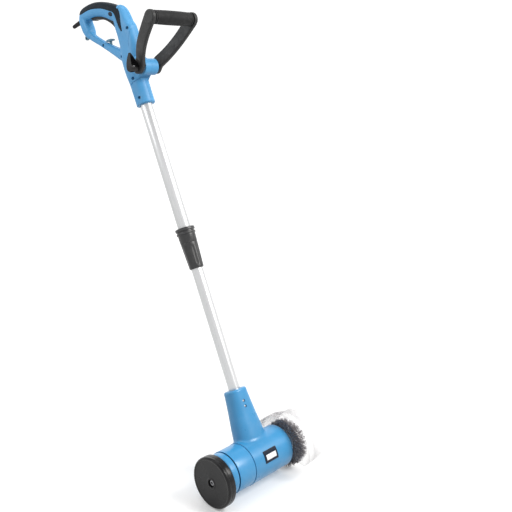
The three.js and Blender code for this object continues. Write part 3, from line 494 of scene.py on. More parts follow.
# ------------------------------------------------------------------ materials
class Look:
    """A procedural material: nodes are made in one chain from object coordinates."""

    def __init__(self, name):
        self.mat = bpy.data.materials.new(name)
        self.mat.use_nodes = True
        self.t = self.mat.node_tree
        self.t.nodes.clear()
        self.out = self.node("ShaderNodeOutputMaterial")
        self.bsdf = self.node("ShaderNodeBsdfPrincipled")
        self.link(self.bsdf, "BSDF", self.out, "Surface")
        at = self.node("ShaderNodeTexCoord")
        self.where = self.node("ShaderNodeMapping")  # the tool's own axes: shaft along Z
        self.where.inputs["Rotation"].default_value = (-LEAN, 0, 0)
        self.link(at, "Object", self.where, "Vector")
        self.bump = None

    def node(self, kind, **values):
        n = self.t.nodes.new(kind)
        for k, v in values.items():
            setattr(n, k, v)
        return n

    def link(self, a, out, b, into):
        self.t.links.new(a.outputs[out], b.inputs[into])

    def set(self, **values):
        for k, v in values.items():
            self.bsdf.inputs[k.replace("_", " ")].default_value = v
        return self

    def noise(self, scale, detail=3.0, rough=0.55, stretch=None, distort=0.0):
        n = self.node("ShaderNodeTexNoise")
        n.inputs["Scale"].default_value = scale
        n.inputs["Detail"].default_value = detail
        n.inputs["Roughness"].default_value = rough
        n.inputs["Distortion"].default_value = distort
        if stretch:
            m = self.node("ShaderNodeMapping")
            m.inputs["Scale"].default_value = stretch
            self.link(self.where, "Vector", m, "Vector")
            self.link(m, "Vector", n, "Vector")
        else:
            self.link(self.where, "Vector", n, "Vector")
        return n

    def spread(self, source, out, lo, hi, to0, to1):
        r = self.node("ShaderNodeMapRange")
        for k, v in zip(("From Min", "From Max", "To Min", "To Max"), (lo, hi, to0, to1)):
            r.inputs[k].default_value = v
        self.link(source, out, r, "Value")
        return r

    def mix(self, factor, a, b, blend="MIX"):
        """factor and a may be (node, output) or a value; b likewise."""
        m = self.node("ShaderNodeMix", data_type="RGBA", blend_type=blend)
        for socket, value in ((m.inputs[0], factor), (m.inputs[6], a), (m.inputs[7], b)):
            if isinstance(value, tuple) and hasattr(value[0], "outputs"):
                self.t.links.new(value[0].outputs[value[1]], socket)
            else:
                socket.default_value = value
        return (m, 2)

    def colour(self, source):
        self.t.links.new(source[0].outputs[source[1]], self.bsdf.inputs["Base Color"])
        return self

    def tint(self, base, share=0.06, scale=14.0, wear=0.0, wear_colour=None, dust=0.0, wear_from=0.515, wear_to=0.6):
        """Base colour that wanders a little, lighter along worn edges, with faint dust in broad patches."""
        lo = tuple(c * (1 - share) for c in base) + (1,)
        hi = tuple(min(1, c * (1 + share)) for c in base) + (1,)
        n = self.noise(scale, 4)
        m = self.mix((self.spread(n, "Fac", 0.3, 0.7, 0, 1), 0), lo, hi)
        if dust:
            d = self.noise(scale * 2.3, 6, 0.65, distort=0.6)
            m = self.mix((self.spread(d, "Fac", 0.52, 0.78, 0, dust), 0), m, (0.62, 0.6, 0.57, 1))
        if wear:
            g = self.node("ShaderNodeNewGeometry")
            edge = self.spread(g, "Pointiness", wear_from, wear_to, 0, wear)
            rub = self.spread(self.noise(scale * 9, 5, 0.7), "Fac", 0.35, 0.62, 0, 1)
            k = self.node("ShaderNodeMath", operation="MULTIPLY")
            self.link(edge, 0, k, 0)
            self.link(rub, 0, k, 1)
            light = wear_colour or tuple(min(1, c * 1.35 + 0.05) for c in base)
            m = self.mix((k, 0), m, tuple(light) + (1,))
        return self.colour(m)

    def rough(self, lo, hi, scale=40.0, stretch=None, detail=4.0):
        n = self.noise(scale, detail, 0.6, stretch)
        r = self.spread(n, "Fac", 0.3, 0.72, lo, hi)
        self.t.links.new(r.outputs[0], self.bsdf.inputs["Roughness"])
        return self

    def relief(self, source, out, distance, strength=1.0):
        b = self.node("ShaderNodeBump")
        b.inputs["Distance"].default_value = distance
        b.inputs["Strength"].default_value = strength
        self.link(source, out, b, "Height")
        if self.bump:
            self.link(self.bump, "Normal", b, "Normal")
        self.bump = b
        self.link(b, "Normal", self.bsdf, "Normal")
        return self

    def grain(self, scale, distance, strength=1.0, detail=2.0, stretch=None, rough=0.5):
        return self.relief(self.noise(scale, detail, rough, stretch), "Fac", distance, strength)


LOOKS = {}


def look(name, build):
    if name not in LOOKS:
        L = Look(name)
        build(L)
        LOOKS[name] = L.mat
    return LOOKS[name]


BLUE_BASE = (0.060, 0.285, 0.555)


def blue_plastic():
    """Handle housing: satin ABS with a fine spark-eroded grain."""
    return look("blue_satin", lambda L: L.tint(BLUE_BASE, 0.05, 16, wear=0.5, wear_colour=(0.22, 0.47, 0.70), dust=0.04)
                .rough(0.40, 0.54, 55).grain(2600, 0.00004, 0.55).grain(95, 0.00012, 0.25, 3)
                .set(IOR=1.5, Specular_IOR_Level=0.42, Coat_Weight=0.03, Coat_Roughness=0.3))


def blue_gloss():
    """Head housing: the same colour, polished, faint flow marks along the neck."""
    return look("blue_gloss", lambda L: L.tint((0.034, 0.250, 0.505), 0.07, 13, wear=0.5, wear_colour=(0.20, 0.46, 0.70), dust=0.04)
                .rough(0.27, 0.40, 42).grain(60, 0.00018, 0.22, 3).grain(1900, 0.000025, 0.35)
                .set(IOR=1.5, Specular_IOR_Level=0.5, Coat_Weight=0.10, Coat_Roughness=0.14))


def black_plastic():
    """Matte glass-filled nylon with a speckled grain."""
    def build(L):
        L.tint((0.018, 0.018, 0.0182), 0.42, 300, wear=0.7, wear_colour=(0.10, 0.10, 0.102), dust=0.03)
        L.rough(0.42, 0.60, 60)
        L.grain(1500, 0.00010, 0.9, 2).grain(420, 0.00008, 0.5, 3)
        L.set(IOR=1.5, Specular_IOR_Level=0.30)
    return look("black_grained", build)


def trigger_black():
    """Deep black nylon of the trigger."""
    def build(L):
        L.tint((0.0035, 0.004, 0.0048), 0.3, 18, wear=0.4, wear_colour=(0.04, 0.042, 0.045), dust=0.01)
        L.rough(0.45, 0.6, 60)
        L.grain(1500, 0.00008, 0.7, 2)
        L.set(IOR=1.5, Specular_IOR_Level=0.2)
    return look("trigger_black", build)


def black_satin():
    """Smooth black moulding: clamp body and twist nut."""
    def build(L):
        L.tint((0.020, 0.020, 0.021), 0.14, 25, wear=0.6, wear_colour=(0.10, 0.10, 0.105), dust=0.05)
        L.rough(0.27, 0.42, 60)
        L.grain(1300, 0.00006, 0.6, 2).grain(160, 0.0001, 0.25, 3)
        L.set(IOR=1.5, Specular_IOR_Level=0.5)
    return look("black_satin", build)


def black_gloss():
    """Polished black: lever and guide wheel."""
    def build(L):
        L.tint((0.006, 0.006, 0.0065), 0.25, 18, wear=0.4, wear_colour=(0.06, 0.06, 0.064), dust=0.012)
        L.rough(0.16, 0.32, 34, detail=6)
        L.grain(50, 0.00025, 0.16, 3).grain(900, 0.00004, 0.4, 2)
        L.set(IOR=1.5, Specular_IOR_Level=0.24, Coat_Weight=0.05, Coat_Roughness=0.05)
    return look("black_gloss", build)


def soft_rubber():
    """Overmoulded grip: fine pebbled texture, soft sheen."""
    def build(L):
        L.tint((0.009, 0.009, 0.0094), 0.18, 30, wear=0.5, wear_colour=(0.075, 0.075, 0.08), dust=0.03)
        L.rough(0.55, 0.75, 70)
        v = L.node("ShaderNodeTexVoronoi", feature="SMOOTH_F1")
        v.inputs["Scale"].default_value = 1050
        v.inputs["Smoothness"].default_value = 0.6
        L.link(L.where, "Vector", v, "Vector")
        L.relief(v, "Distance", 0.00022, 0.7)
        L.grain(150, 0.00012, 0.3, 3)
        L.set(IOR=1.48, Specular_IOR_Level=0.22, Sheen_Weight=0.02, Sheen_Roughness=0.5)
    return look("soft_rubber", build)


def pad_rubber():
    """The handle's overmoulded pad: darker and bluer than the sleeve."""
    def build(L):
        L.tint((0.0045, 0.0105, 0.0175), 0.18, 30, wear=0.5, wear_colour=(0.035, 0.05, 0.065), dust=0.015)
        L.rough(0.50, 0.70, 70)
        v = L.node("ShaderNodeTexVoronoi", feature="SMOOTH_F1")
        v.inputs["Scale"].default_value = 900
        v.inputs["Smoothness"].default_value = 0.6
        L.link(L.where, "Vector", v, "Vector")
        L.relief(v, "Distance", 0.0002, 0.6)
        L.grain(150, 0.00012, 0.3, 3)
        L.set(IOR=1.47, Specular_IOR_Level=0.16)
    return look("pad_rubber", build)


def hook_plastic():
    """Slate-blue moulding of the cord hook."""
    def build(L):
        L.tint((0.055, 0.155, 0.22), 0.15, 40, wear=0.5, wear_colour=(0.16, 0.30, 0.38))
        L.rough(0.34, 0.5, 60)
        L.grain(900, 0.00004, 0.4, 3).grain(60, 0.0003, 0.15, 3)
        L.set(IOR=1.5, Specular_IOR_Level=0.4)
    return look("hook_plastic", build)


def navy_plastic():
    def build(L):
        L.tint((0.002, 0.008, 0.024), 0.15, 40, wear=0.4, wear_colour=(0.02, 0.045, 0.09))
        L.rough(0.25, 0.38, 80)
        L.grain(1800, 0.00004, 0.6)
        L.set(IOR=1.5, Specular_IOR_Level=0.22, Coat_Weight=0.03, Coat_Roughness=0.15)
    return look("navy_plastic", build)


def print_white():
    def build(L):
        L.tint((0.80, 0.81, 0.82), 0.04, 60)
        L.rough(0.32, 0.45, 90)
        L.grain(2400, 0.00002, 0.5)
    return look("label_white", build)


def aluminium():
    """Anodised tube: bright, drawn along its length."""
    def build(L):
        n = L.noise(1.0, 6, 0.65, stretch=(900, 900, 9))
        lo, hi = (0.54, 0.545, 0.55, 1), (0.64, 0.645, 0.65, 1)
        m = L.mix((L.spread(n, "Fac", 0.3, 0.7, 0, 1), 0), lo, hi)
        broad = L.noise(7, 4, 0.6)
        m = L.mix((L.spread(broad, "Fac", 0.45, 0.8, 0, 0.10), 0), m, (0.58, 0.59, 0.60, 1))
        L.colour(m)
        fine = L.noise(1.0, 4, 0.6, stretch=(2600, 2600, 16))
        r = L.spread(fine, "Fac", 0.3, 0.72, 0.26, 0.42)
        L.t.links.new(r.outputs[0], L.bsdf.inputs["Roughness"])
        L.relief(fine, "Fac", 0.00003, 0.5)
        L.set(Metallic=0.72, IOR=1.6)
    return look("aluminium_drawn", build)


def steel(name="steel_turned", base=(0.46, 0.47, 0.49), rough=(0.22, 0.42)):
    def build(L):
        L.tint(base, 0.16, 90, wear=0.3, wear_colour=(0.75, 0.76, 0.78), dust=0.06)
        L.rough(rough[0], rough[1], 160, detail=6)
        L.grain(700, 0.00006, 0.5, 4).grain(90, 0.00015, 0.2, 3)
        L.set(Metallic=1.0)
    return look(name, build)


def zinc():
    """Bright zinc plate with a soft spangle."""
    def build(L):
        v = L.node("ShaderNodeTexVoronoi")
        v.inputs["Scale"].default_value = 320
        L.link(L.where, "Vector", v, "Vector")
        m = L.mix((v, "Distance"), (0.66, 0.67, 0.69, 1), (0.80, 0.80, 0.79, 1))
        warm = L.noise(60, 5, 0.6)
        m = L.mix((L.spread(warm, "Fac", 0.5, 0.8, 0, 0.3), 0), m, (0.74, 0.70, 0.58, 1))
        L.colour(m)
        L.rough(0.2, 0.38, 120, detail=5)
        L.grain(500, 0.00008, 0.4, 4)
        L.set(Metallic=1.0)
    return look("zinc_plate", build)


def copper():
    def build(L):
        L.tint((0.70, 0.33, 0.19), 0.18, 120, wear=0.3, wear_colour=(0.9, 0.55, 0.4), dust=0.05)
        L.rough(0.25, 0.45, 150)
        L.grain(1.0, 0.00012, 0.6, 2, stretch=(300, 3000, 3000))
        L.set(Metallic=1.0)
    return look("copper_wound", build)


def natural_nylon():
    def build(L):
        L.tint((0.74, 0.70, 0.60), 0.05, 35, wear=0.4, wear_colour=(0.86, 0.84, 0.78), dust=0.06)
        L.rough(0.38, 0.55, 70)
        L.grain(1400, 0.00006, 0.6)
        L.set(IOR=1.52, Subsurface_Weight=0.06, Subsurface_Scale=0.004)
    return look("natural_nylon", build)


def grey_plastic():
    def build(L):
        L.tint((0.17, 0.18, 0.19), 0.10, 30, wear=0.5, wear_colour=(0.34, 0.35, 0.37), dust=0.05)
        L.rough(0.40, 0.55, 60)
        L.grain(1500, 0.00007, 0.7)
        L.set(IOR=1.5)
    return look("grey_plastic", build)


def clear_plastic():
    """Clear polycarbonate: seen through face on, greyer and shinier at glancing angles."""
    def build(L):
        w = L.node("ShaderNodeLayerWeight")
        w.inputs["Blend"].default_value = 0.28
        m = L.mix((L.spread(L.noise(24, 4), "Fac", 0.3, 0.7, 0, 1), 0), (0.33, 0.31, 0.325, 1), (0.40, 0.38, 0.395, 1))
        m = L.mix((L.spread(w, "Facing", 0.3, 0.75, 0, 1), 0), m, (0.16, 0.15, 0.16, 1))
        L.colour(m)
        a = L.spread(w, "Facing", 0.2, 0.7, 0.12, 0.62)
        haze = L.spread(L.noise(90, 5, 0.65), "Fac", 0.5, 0.8, 0.0, 0.03)
        s = L.node("ShaderNodeMath", operation="ADD", use_clamp=True)
        L.link(a, 0, s, 0)
        L.link(haze, 0, s, 1)
        L.t.links.new(s.outputs[0], L.bsdf.inputs["Alpha"])
        L.rough(0.05, 0.16, 50)
        L.grain(70, 0.0002, 0.18, 3).grain(14, 0.0015, 0.12, 2)
        L.set(IOR=1.58, Specular_IOR_Level=0.6)
    return look("clear_plastic", build)


def bristle(name="bristle_nylon"):
    """Abrasive nylon filament, each strand its own tone; the palest strands are a painted highlight standing in for
    strands catching the light.
    """
    def build(L):
        g = L.node("ShaderNodeNewGeometry")
        r = L.node("ShaderNodeValToRGB")
        r.color_ramp.interpolation = "LINEAR"
        # random tone per strand; the two palest stops (0.30 and 0.82) are painted highlight for lit strands
        strand_tones_and_painted_highlights = [(0.0, (0.016, 0.013, 0.017, 1)), (0.42, (0.045, 0.036, 0.046, 1)), (0.66, (0.10, 0.085, 0.10, 1)), (0.82, (0.30, 0.28, 0.30, 1)), (1.0, (0.82, 0.80, 0.82, 1))]
        e = r.color_ramp.elements
        e[0].position, e[0].color = strand_tones_and_painted_highlights[0]
        e[1].position, e[1].color = strand_tones_and_painted_highlights[-1]
        for p, c in strand_tones_and_painted_highlights[1:-1]:
            x = e.new(p)
            x.color = c
        L.link(g, "Random Per Island", r, "Fac")
        n = L.noise(260, 4, 0.65)
        m = L.mix((L.spread(n, "Fac", 0.35, 0.7, 0, 0.55), 0), (r, "Color"), (0.060, 0.052, 0.058, 1))
        L.colour(m)
        L.rough(0.38, 0.62, 300)
        L.grain(3000, 0.00008, 0.8, 2)
        L.set(IOR=1.5, Specular_IOR_Level=0.5)
    return look(name, build)


def bristle_core():
    """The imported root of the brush: fine radial streaks."""
    def build(L):
        L.tint((0.045, 0.040, 0.042), 0.5, 900)
        L.rough(0.5, 0.75, 400)
        L.grain(1600, 0.0004, 1.0, 3)
    return look("bristle_core", build)


SLOT_LOOKS = {
    "blue_plastic": blue_plastic, "black_plastic": black_plastic, "gloss_black_plastic": black_gloss,
    "soft_rubber": soft_rubber, "navy_plastic": navy_plastic, "aluminium_tube": aluminium, "steel": steel,
    "zinc_plate": zinc, "copper": copper, "clear_plastic": clear_plastic, "bristle_nylon": bristle,
    "nylon": natural_nylon, "grey_plastic": grey_plastic,
}


def piece(ob, name, body, material, nodes=(), angle=34.0):
    """Finishes a mesh drawn in millimetres as a piece of the object."""
    me = ob.data
    me.transform(STANCE @ Matrix.Scale(0.001, 4))
    ob.name = me.name = name
    index = [f.material_index for f in me.polygons]
    me.materials.clear()
    for m in material if isinstance(material, (list, tuple)) else [material]:
        me.materials.append(m)
    if isinstance(material, (list, tuple)):
        me.polygons.foreach_set("material_index", index)
    me.shade_smooth()
    me.set_sharp_from_angle(angle=math.radians(angle))
    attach(ob, body)
    if nodes:
        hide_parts(*nodes)
    return ob


# ============================================================ D-handle shells
VOX = 1.05
WEB = [[14, 926], [23, 932], [30.5, 941], [39, 950], [46, 976.5], [34, 990], [14, 1004], [-4, 1004], [-4, 926]]
f_grip, f_rear, f_strut = path_field(GRIP), path_field(REAR, 5.0), path_field(STRUT, 5.0)
f_spine = level_field(SPINE, 1.5)


def f_web(P):
    wide = np.interp(P[:, 2], [922, 926, 933, 943, 956, 975, 1004], [0.6, 4.5, 13.0, 17.6, 19.8, 19.0, 15.5])
    flat = to_line(WEB, P[:, 1], P[:, 2]) + 1.2
    return smax(flat, (np.abs(P[:, 0]) - wide) * 0.85, 3.5)


def f_boss(P):
    return np.maximum(np.hypot(P[:, 1] - BOSS_Y, P[:, 2] - BOSS_Z) - BOSS_R, np.abs(P[:, 0]) - 22.5)


def f_handle(P):
    f = smin(f_grip(P), f_rear(P), 4.0)
    f = smin(f, f_strut(P), 4.0)
    f = smin(f, f_spine(P), 4.0)
    f = smin(f, f_web(P), 1.6)
    return smin(f, f_boss(P), 2.4)


web_start = prism(WEB, -14, 14)
skin = heap(
    loft(path_stations(GRIP)), loft(path_stations(REAR)), loft(path_stations(STRUT)), loft(level_stations(SPINE)),
    rod(-22.5, 22.5, BOSS_R, BOSS_Y, BOSS_Z, 96), web_start,
)
remesh(skin, VOX)
relax(skin, 4, 0.5)
snap(skin, f_handle, 3)
relax(skin, 1, 0.4)
snap(skin, f_handle, 2)


def shifted(ob, distance):
    q = copy_of(ob)
    set_coords(q.data, coords(q.data) + normals(q.data) * distance)
    return q


def inset_line(points, d):
    """A closed outline moved inward by about d."""
    p = np.array(points, float)
    out = []
    turn = np.sum(p[:, 0] * np.roll(p[:, 1], -1) - np.roll(p[:, 0], -1) * p[:, 1])
    s = 1 if turn > 0 else -1
    for i in range(len(p)):
        a, b = p[i] - p[i - 1], p[(i + 1) % len(p)] - p[i]
        a, b = a / np.linalg.norm(a), b / np.linalg.norm(b)
        n = np.array([-a[1] - b[1], a[0] + b[0]])
        n /= max(np.linalg.norm(n), 1e-6)
        k = max(0.5, n @ np.array([-a[1], a[0]]))
        out.append(tuple(p[i] + s * n * d / k))
    return out


pad_top = smooth_line(PAD[:12], 4) + smooth_line(PAD[12:19], 4) + [tuple(q) for q in PAD[19:]]
pad_in = inset_line(pad_top, 0.35)

# The soft grip: the skin itself, its border rolled down into the recess.
grip_pad = copy_of(skin)
pp, nn = coords(grip_pad.data), normals(grip_pad.data)
deep = -to_line(pad_in, pp[:, 1], pp[:, 2])
rim = np.clip(deep / 2.4, 0, 1)
pp += nn * (0.25 - 1.0 * (1 - np.sqrt(1 - (1 - rim) ** 2 + 1e-9)))[:, None]
set_coords(grip_pad.data, pp)
under = shifted(skin, -1.8)
meet(grip_pad, prism(pad_in, -30, 30))
cut(grip_pad, copy_of(under))
drop(under)

shells = skin
core = shifted(skin, -2.1)
cut(shells, cut(prism(pad_top, -30, 30), core))

# Shallow lines of the housing: the crease down the side of the spine.
ridge = smooth_line([(44, 1075), (42, 1062), (36, 1048), (28, 1033), (26.5, 1017), (30, 1003), (31, 996)], 6)


def ribbon(line, half):
    p = np.array(line)
    t = np.gradient(p, axis=0)
    t /= np.linalg.norm(t, axis=1)[:, None]
    n = np.stack([-t[:, 1], t[:, 0]], axis=1)
    k = np.sin(np.linspace(0.03, math.pi - 0.03, len(p)))[:, None] ** 0.35
    return [tuple(q) for q in p + n * half * k] + [tuple(q) for q in (p - n * half * k)[::-1]]


core = shifted(skin, -0.55)
cut(shells, cut(prism(ribbon(ridge, 0.65), -30, 30), core))

# ... and the line round the collar under the boss.
belt = block(-45, 45, -45, 60, -1.0, 1.0)
belt.data.transform(Matrix.Translation((0, 0, 934.5)) @ Matrix.Rotation(math.radians(10), 4, "X"))
core = shifted(skin, -1.1)
cut(shells, cut(belt, core))

hollow = loft(path_stations(GRIP, 4.6))
join(hollow, loft(path_stations(REAR, 3.8)), loft(path_stations(STRUT, 2.8)))
spine_in = [[2, 963, 24, 22, 2.1]] + SPINE[4:]
join(hollow, meet(loft(level_stations(spine_in, 4.6)), block(-40, 40, -60, 60, 962, 1126)))
for y, z, seat, tip in SCREWS[:3]:
    cut(hollow, rod(-22, 22, 4.6, y, z, 40))
cut(shells, hollow)
cut(
    shells,
    rod(850, 958.3, 15.8, 0, 0, 96, "z"),
    rod(950, 975, 9, 0, 0, 48, "z"),
    rod(-40, 40, 4.4, BOSS_Y, BOSS_Z, 48),
    # crisp ends of the boss and of the collar
    lathe(rounded([(BOSS_HALF, 0), (BOSS_HALF, 19.0), (BOSS_HALF - 1.0, 20.3), (BOSS_HALF - 1.0, 23), (34, 23), (34, 0)], [0, 1.0, 0, 0, 0, 0], 5), "x", 96, (0, BOSS_Y, BOSS_Z)),
    lathe(rounded([(-BOSS_HALF, 0), (-BOSS_HALF, 19.0), (-BOSS_HALF + 1.0, 20.3), (-BOSS_HALF + 1.0, 23), (-34, 23), (-34, 0)], [0, 1.0, 0, 0, 0, 0], 5), "x", 96, (0, BOSS_Y, BOSS_Z)),
    lathe(rounded([(850, 0), (878.5, 0.01), (878.5, 18.9), (881.2, 23.9), (881.2, 40), (850, 40), (850, 0)], [0, 0, 2.8, 0, 0, 0, 0], 6), "z", 96),
    prism(smooth_line(SLOT + [SLOT[0]], 3)[:-1], -8.8, 8.8),
    prism(oval(8.4, 5.4, 56), 4, 30, GRIP_DIR, GRIP_UP, (1, 0, 0), LOCK_AT),
    prism([(-67, 1056), (-61, 1054), (-58, 1064), (-58, 1070), (-64, 1070)], -3.3, 3.3),
)
for y, z, seat, tip in SCREWS:
    cut(shells, rod(tip - 0.5, 40, 2.1, y, z, 24), lathe(rounded([(seat - 2.9, 0), (seat - 2.9, 4.0), (40, 4.0), (40, 0)], 0, 1), "x", 40, (0, y, z)))

BOOT_A, BOOT_B = Vector((0, -137, 1173.5)), Vector((0, -190, 1179.5))
boot_dir = (BOOT_B - BOOT_A).normalized()
boot_up = Vector((0, -boot_dir.z, boot_dir.y))


def boot_ring(rows, sides=56):
    """Closed ring about the boot's axis from (along, radius) rows."""
    out = []
    for s, r in rows:
        c = BOOT_A + boot_dir * s
        out.append([tuple(c + Vector((1, 0, 0)) * (r * math.cos(2 * math.pi * i / sides)) + boot_up * (r * math.sin(2 * math.pi * i / sides))) for i in range(sides)])
    return out


cut(shells, grid(boot_ring([(-6, 6.9), (40, 6.9)]), caps=(True, True)))
left = copy_of(shells)
meet(shells, block(0.15, 60, -250, 250, 800, 1300))
meet(left, block(-60, -0.15, -250, 250, 800, 1300))
piece(shells, "handle_shell_right", "handle", blue_plastic(), ["handle_shell_right"])
piece(left, "handle_shell_left", "handle", blue_plastic(), ["handle_shell_left"])
piece(grip_pad, "soft_grip", "handle", pad_rubber(), ["soft_grip"])


def cross_screw(tip, seat, r_head, r_shank, at, name, node, body, material, turn=0.3, depth=1.5):
    """Pan head screw along +X with a cross recess and a cut thread."""
    head = rounded([(seat - 2.5, r_shank), (seat - 2.5, r_head), (seat - 0.7, r_head), (seat, r_head * 0.55), (seat, 0)], [0, 0.3, 0.7, 1.2, 0], 4)
    rows, x, k = [(tip, 0), (tip + 0.6, r_shank * 0.6)], tip + 1.0, 0
    while x < seat - 3.1:
        rows.append((x, r_shank if k % 2 else r_shank * 0.78))
        x += 0.55
        k += 1
    ob = lathe(rows + head, "x", 40, at)
    for i in range(2):
        a = turn + i * math.pi / 2
        u, v = (0, math.cos(a), math.sin(a)), (0, -math.sin(a), math.cos(a))
        cut(ob, prism([(-r_head * 0.62, -0.42), (r_head * 0.62, -0.42), (r_head * 0.62, 0.42), (-r_head * 0.62, 0.42)], seat - depth, seat + 2, u, v, (1, 0, 0), at))
    return piece(ob, name, body, material, [node])


for i, (y, z, seat, tip) in enumerate(SCREWS):
    cross_screw(tip, seat, 3.6, 1.75, (0, y, z), f"handle_screw_{i + 1}", f"handle_screw_{i + 1}", "handle", steel("screw_steel", (0.22, 0.23, 0.25), (0.3, 0.5)), 0.3 + 0.5 * i)

# Cable boot: collar, then a bend relief cut by ring grooves.
outer = [(-4, 6.5), (6, 6.5), (6.2, 5.2), (8.5, 5.2), (8.7, 8.0), (9.3, 8.2), (11.0, 8.2), (11.6, 7.7), (11.9, 6.1)]
s = 14.5
while s < 46:
    r = 6.1 + (4.95 - 6.1) * (s - 12) / 40
    outer += [(s, r), (s + 0.5, r - 0.75), (s + 1.7, r - 0.75), (s + 2.2, r)]
    s += 4.6
outer += [(50.6, 4.9), (51.7, 4.6), (52, 4.2), (52, 3.7)]
rows = boot_ring(outer + [(-4, 3.7)])
boot = grid(rows, close_u=True)
piece(boot, "cable_boot", "handle", soft_rubber(), ["cable_boot"])

# T-shaped cord hook.
T_AT, T_DIR, T_UP = (0, -58.2, 1077.8), (0, 0.961, -0.277), (0, 0.277, 0.961)
hook = prism(rounded([(-66.3, 1056), (-61.7, 1056), (-56.2, 1075.3), (-60.9, 1076.5)], 0.6, 3, True), -3, 3, edge=0.9)
bar = rounded([(-13, -1.8), (-11.5, 1.2), (-8, 2.2), (8, 2.2), (11.5, 1.2), (13, -1.8), (11, -2.6), (-11, -2.6)], 0.8, 3, True)
join(hook, prism(bar, -5, 5, T_DIR, T_UP, (1, 0, 0), T_AT, edge=0.9))
piece(hook, "cord_hook", "handle", hook_plastic(), ["cord_hook"])

# Hanging lug.
lug = lathe(rounded([(-2.7, 3.2), (-2.7, 6.2), (2.7, 6.2), (2.7, 3.2)], 0.6, 3, True), "x", 64, (0, -147, 1127.5))
tab = prism([(-145, 1124.6), (-138, 1124.0), (-138, 1131.0), (-145, 1130.4)], -2.6, 2.6, edge=0.6)
cut(tab, rod(-4, 4, 3.2, -147, 1127.5, 64))
join(lug, tab)
piece(lug, "hang_lug", "handle", hook_plastic(), ["hang_lug"])

# Trigger: one smooth bar with rolled edges.
trig = prism(smooth_line(TRIG_LOW, 4) + smooth_line(TRIG_TOP, 4), -7.6, 7.6, edge=1.5, steps=4)
piece(trig, "trigger", "trigger", trigger_black(), ["trigger"])

# Lock button: an oval cap with a domed, finely ribbed top.
stack = [(12.2, 1.0), (12.2, 7.9 - 0.0), (17.4, 7.9), (17.9, 7.6), (18.25, 6.9), (18.4, 5.6), (18.4, 0.5)]
rows = []
u, v = Vector(GRIP_DIR), Vector(GRIP_UP)
for x, a in stack:
    b = max(a - 3.0, 0.3)
    rows.append([tuple(Vector(LOCK_AT) + u * p + v * q + Vector((x, 0, 0))) for p, q in oval(a, b, 56)])
button = grid(rows, caps=(True, True))
for k in range(-2, 3):
    cut(button, prism([(k * 2.2 - 0.28, -2.2), (k * 2.2 + 0.28, -2.2), (k * 2.2 + 0.28, 2.2), (k * 2.2 - 0.28, 2.2)], 18.1, 20, GRIP_DIR, GRIP_UP, (1, 0, 0), LOCK_AT))
piece(button, "lock_button", "lock_button", navy_plastic(), ["lock_button"])

# ================================================================== the tubes
upper = lathe(rounded([(500, 14.3), (500, 15.5), (958, 15.5), (958, 14.3)], 0.3, 2, True), "z", 128)
cut(upper, rod(10, 20, 2.1, 2.3, 945.4, 24), rod(10, 20, 2.1, 1.5, 895.3, 24))
piece(upper, "upper_tube", "handle", aluminium(), ["upper_tube"])
lower = lathe(rounded([(62, 12.8), (62, 14), (700, 14), (700, 12.8)], 0.3, 2, True), "z", 128)
for x, z in ((4, 134), (4, 121)):
    cut(lower, prism(ngon(24, 2.1), 5, 20, (0, 0, 1), (1, 0, 0), (0, 1, 0), (x, 0, z)))
piece(lower, "lower_tube", "head", aluminium(), ["lower_tube"])

clamp = [(525, 15.8), (525, 20.4), (525.6, 20.7), (545.4, 21.3), (546, 21.8), (546.4, 23.0), (547.2, 23.4), (550.2, 23.4), (551, 23.0), (551.4, 21.8), (552.2, 21.5), (554.2, 21.6), (554.9, 22.2), (555.2, 23.5), (556, 24), (561, 23.7), (562, 22.9), (562, 15.8)]
piece(lathe(clamp, "z", 128), "clamp_body", "handle", black_satin(), ["clamp_body"])


def fluting(t, z, r):
    """Eight soft hollows round the nut, fading out at both ends."""
    if r < 17:
        return r
    k = min(1, max(0, (z - 466) / 9)) * min(1, max(0, (519 - z) / 7))
    k = k * k * (3 - 2 * k)
    w = (t * 8 / (2 * math.pi)) % 1 - 0.5
    d = math.exp(-((w / 0.23) ** 2))
    return r - 1.05 * k * d


nut = [(470.5, 14.3), (461, 14.3), (461, 15.6), (461.5, 16.5), (462.6, 17.2)]
nut += [(z, 17.3 + 3.1 * (z - 461) / 63.7) for z in np.linspace(464, 521.5, 30)]
nut += [(523.4, 20.3), (524.4, 19.9), (524.7, 19.2), (524.7, 16.5), (470.5, 16.5)]
piece(lathe(nut, "z", 160, wave=fluting), "twist_nut", "twist_nut", black_satin(), ["twist_nut"])

# ================================================================ loop handle
ad = np.array([BAR_Y - BOSS_Y, BAR_Z - BOSS_Z])
arm_len = float(np.linalg.norm(ad))
ad = ad / arm_len


def arm_x(s):
    q = max(0.0, (s - 0.11) / 0.89)
    return ARM_X0 + (ARM_X1 - ARM_X0) * (0.42 * q + 0.58 * (1 - (1 - q) ** 3))


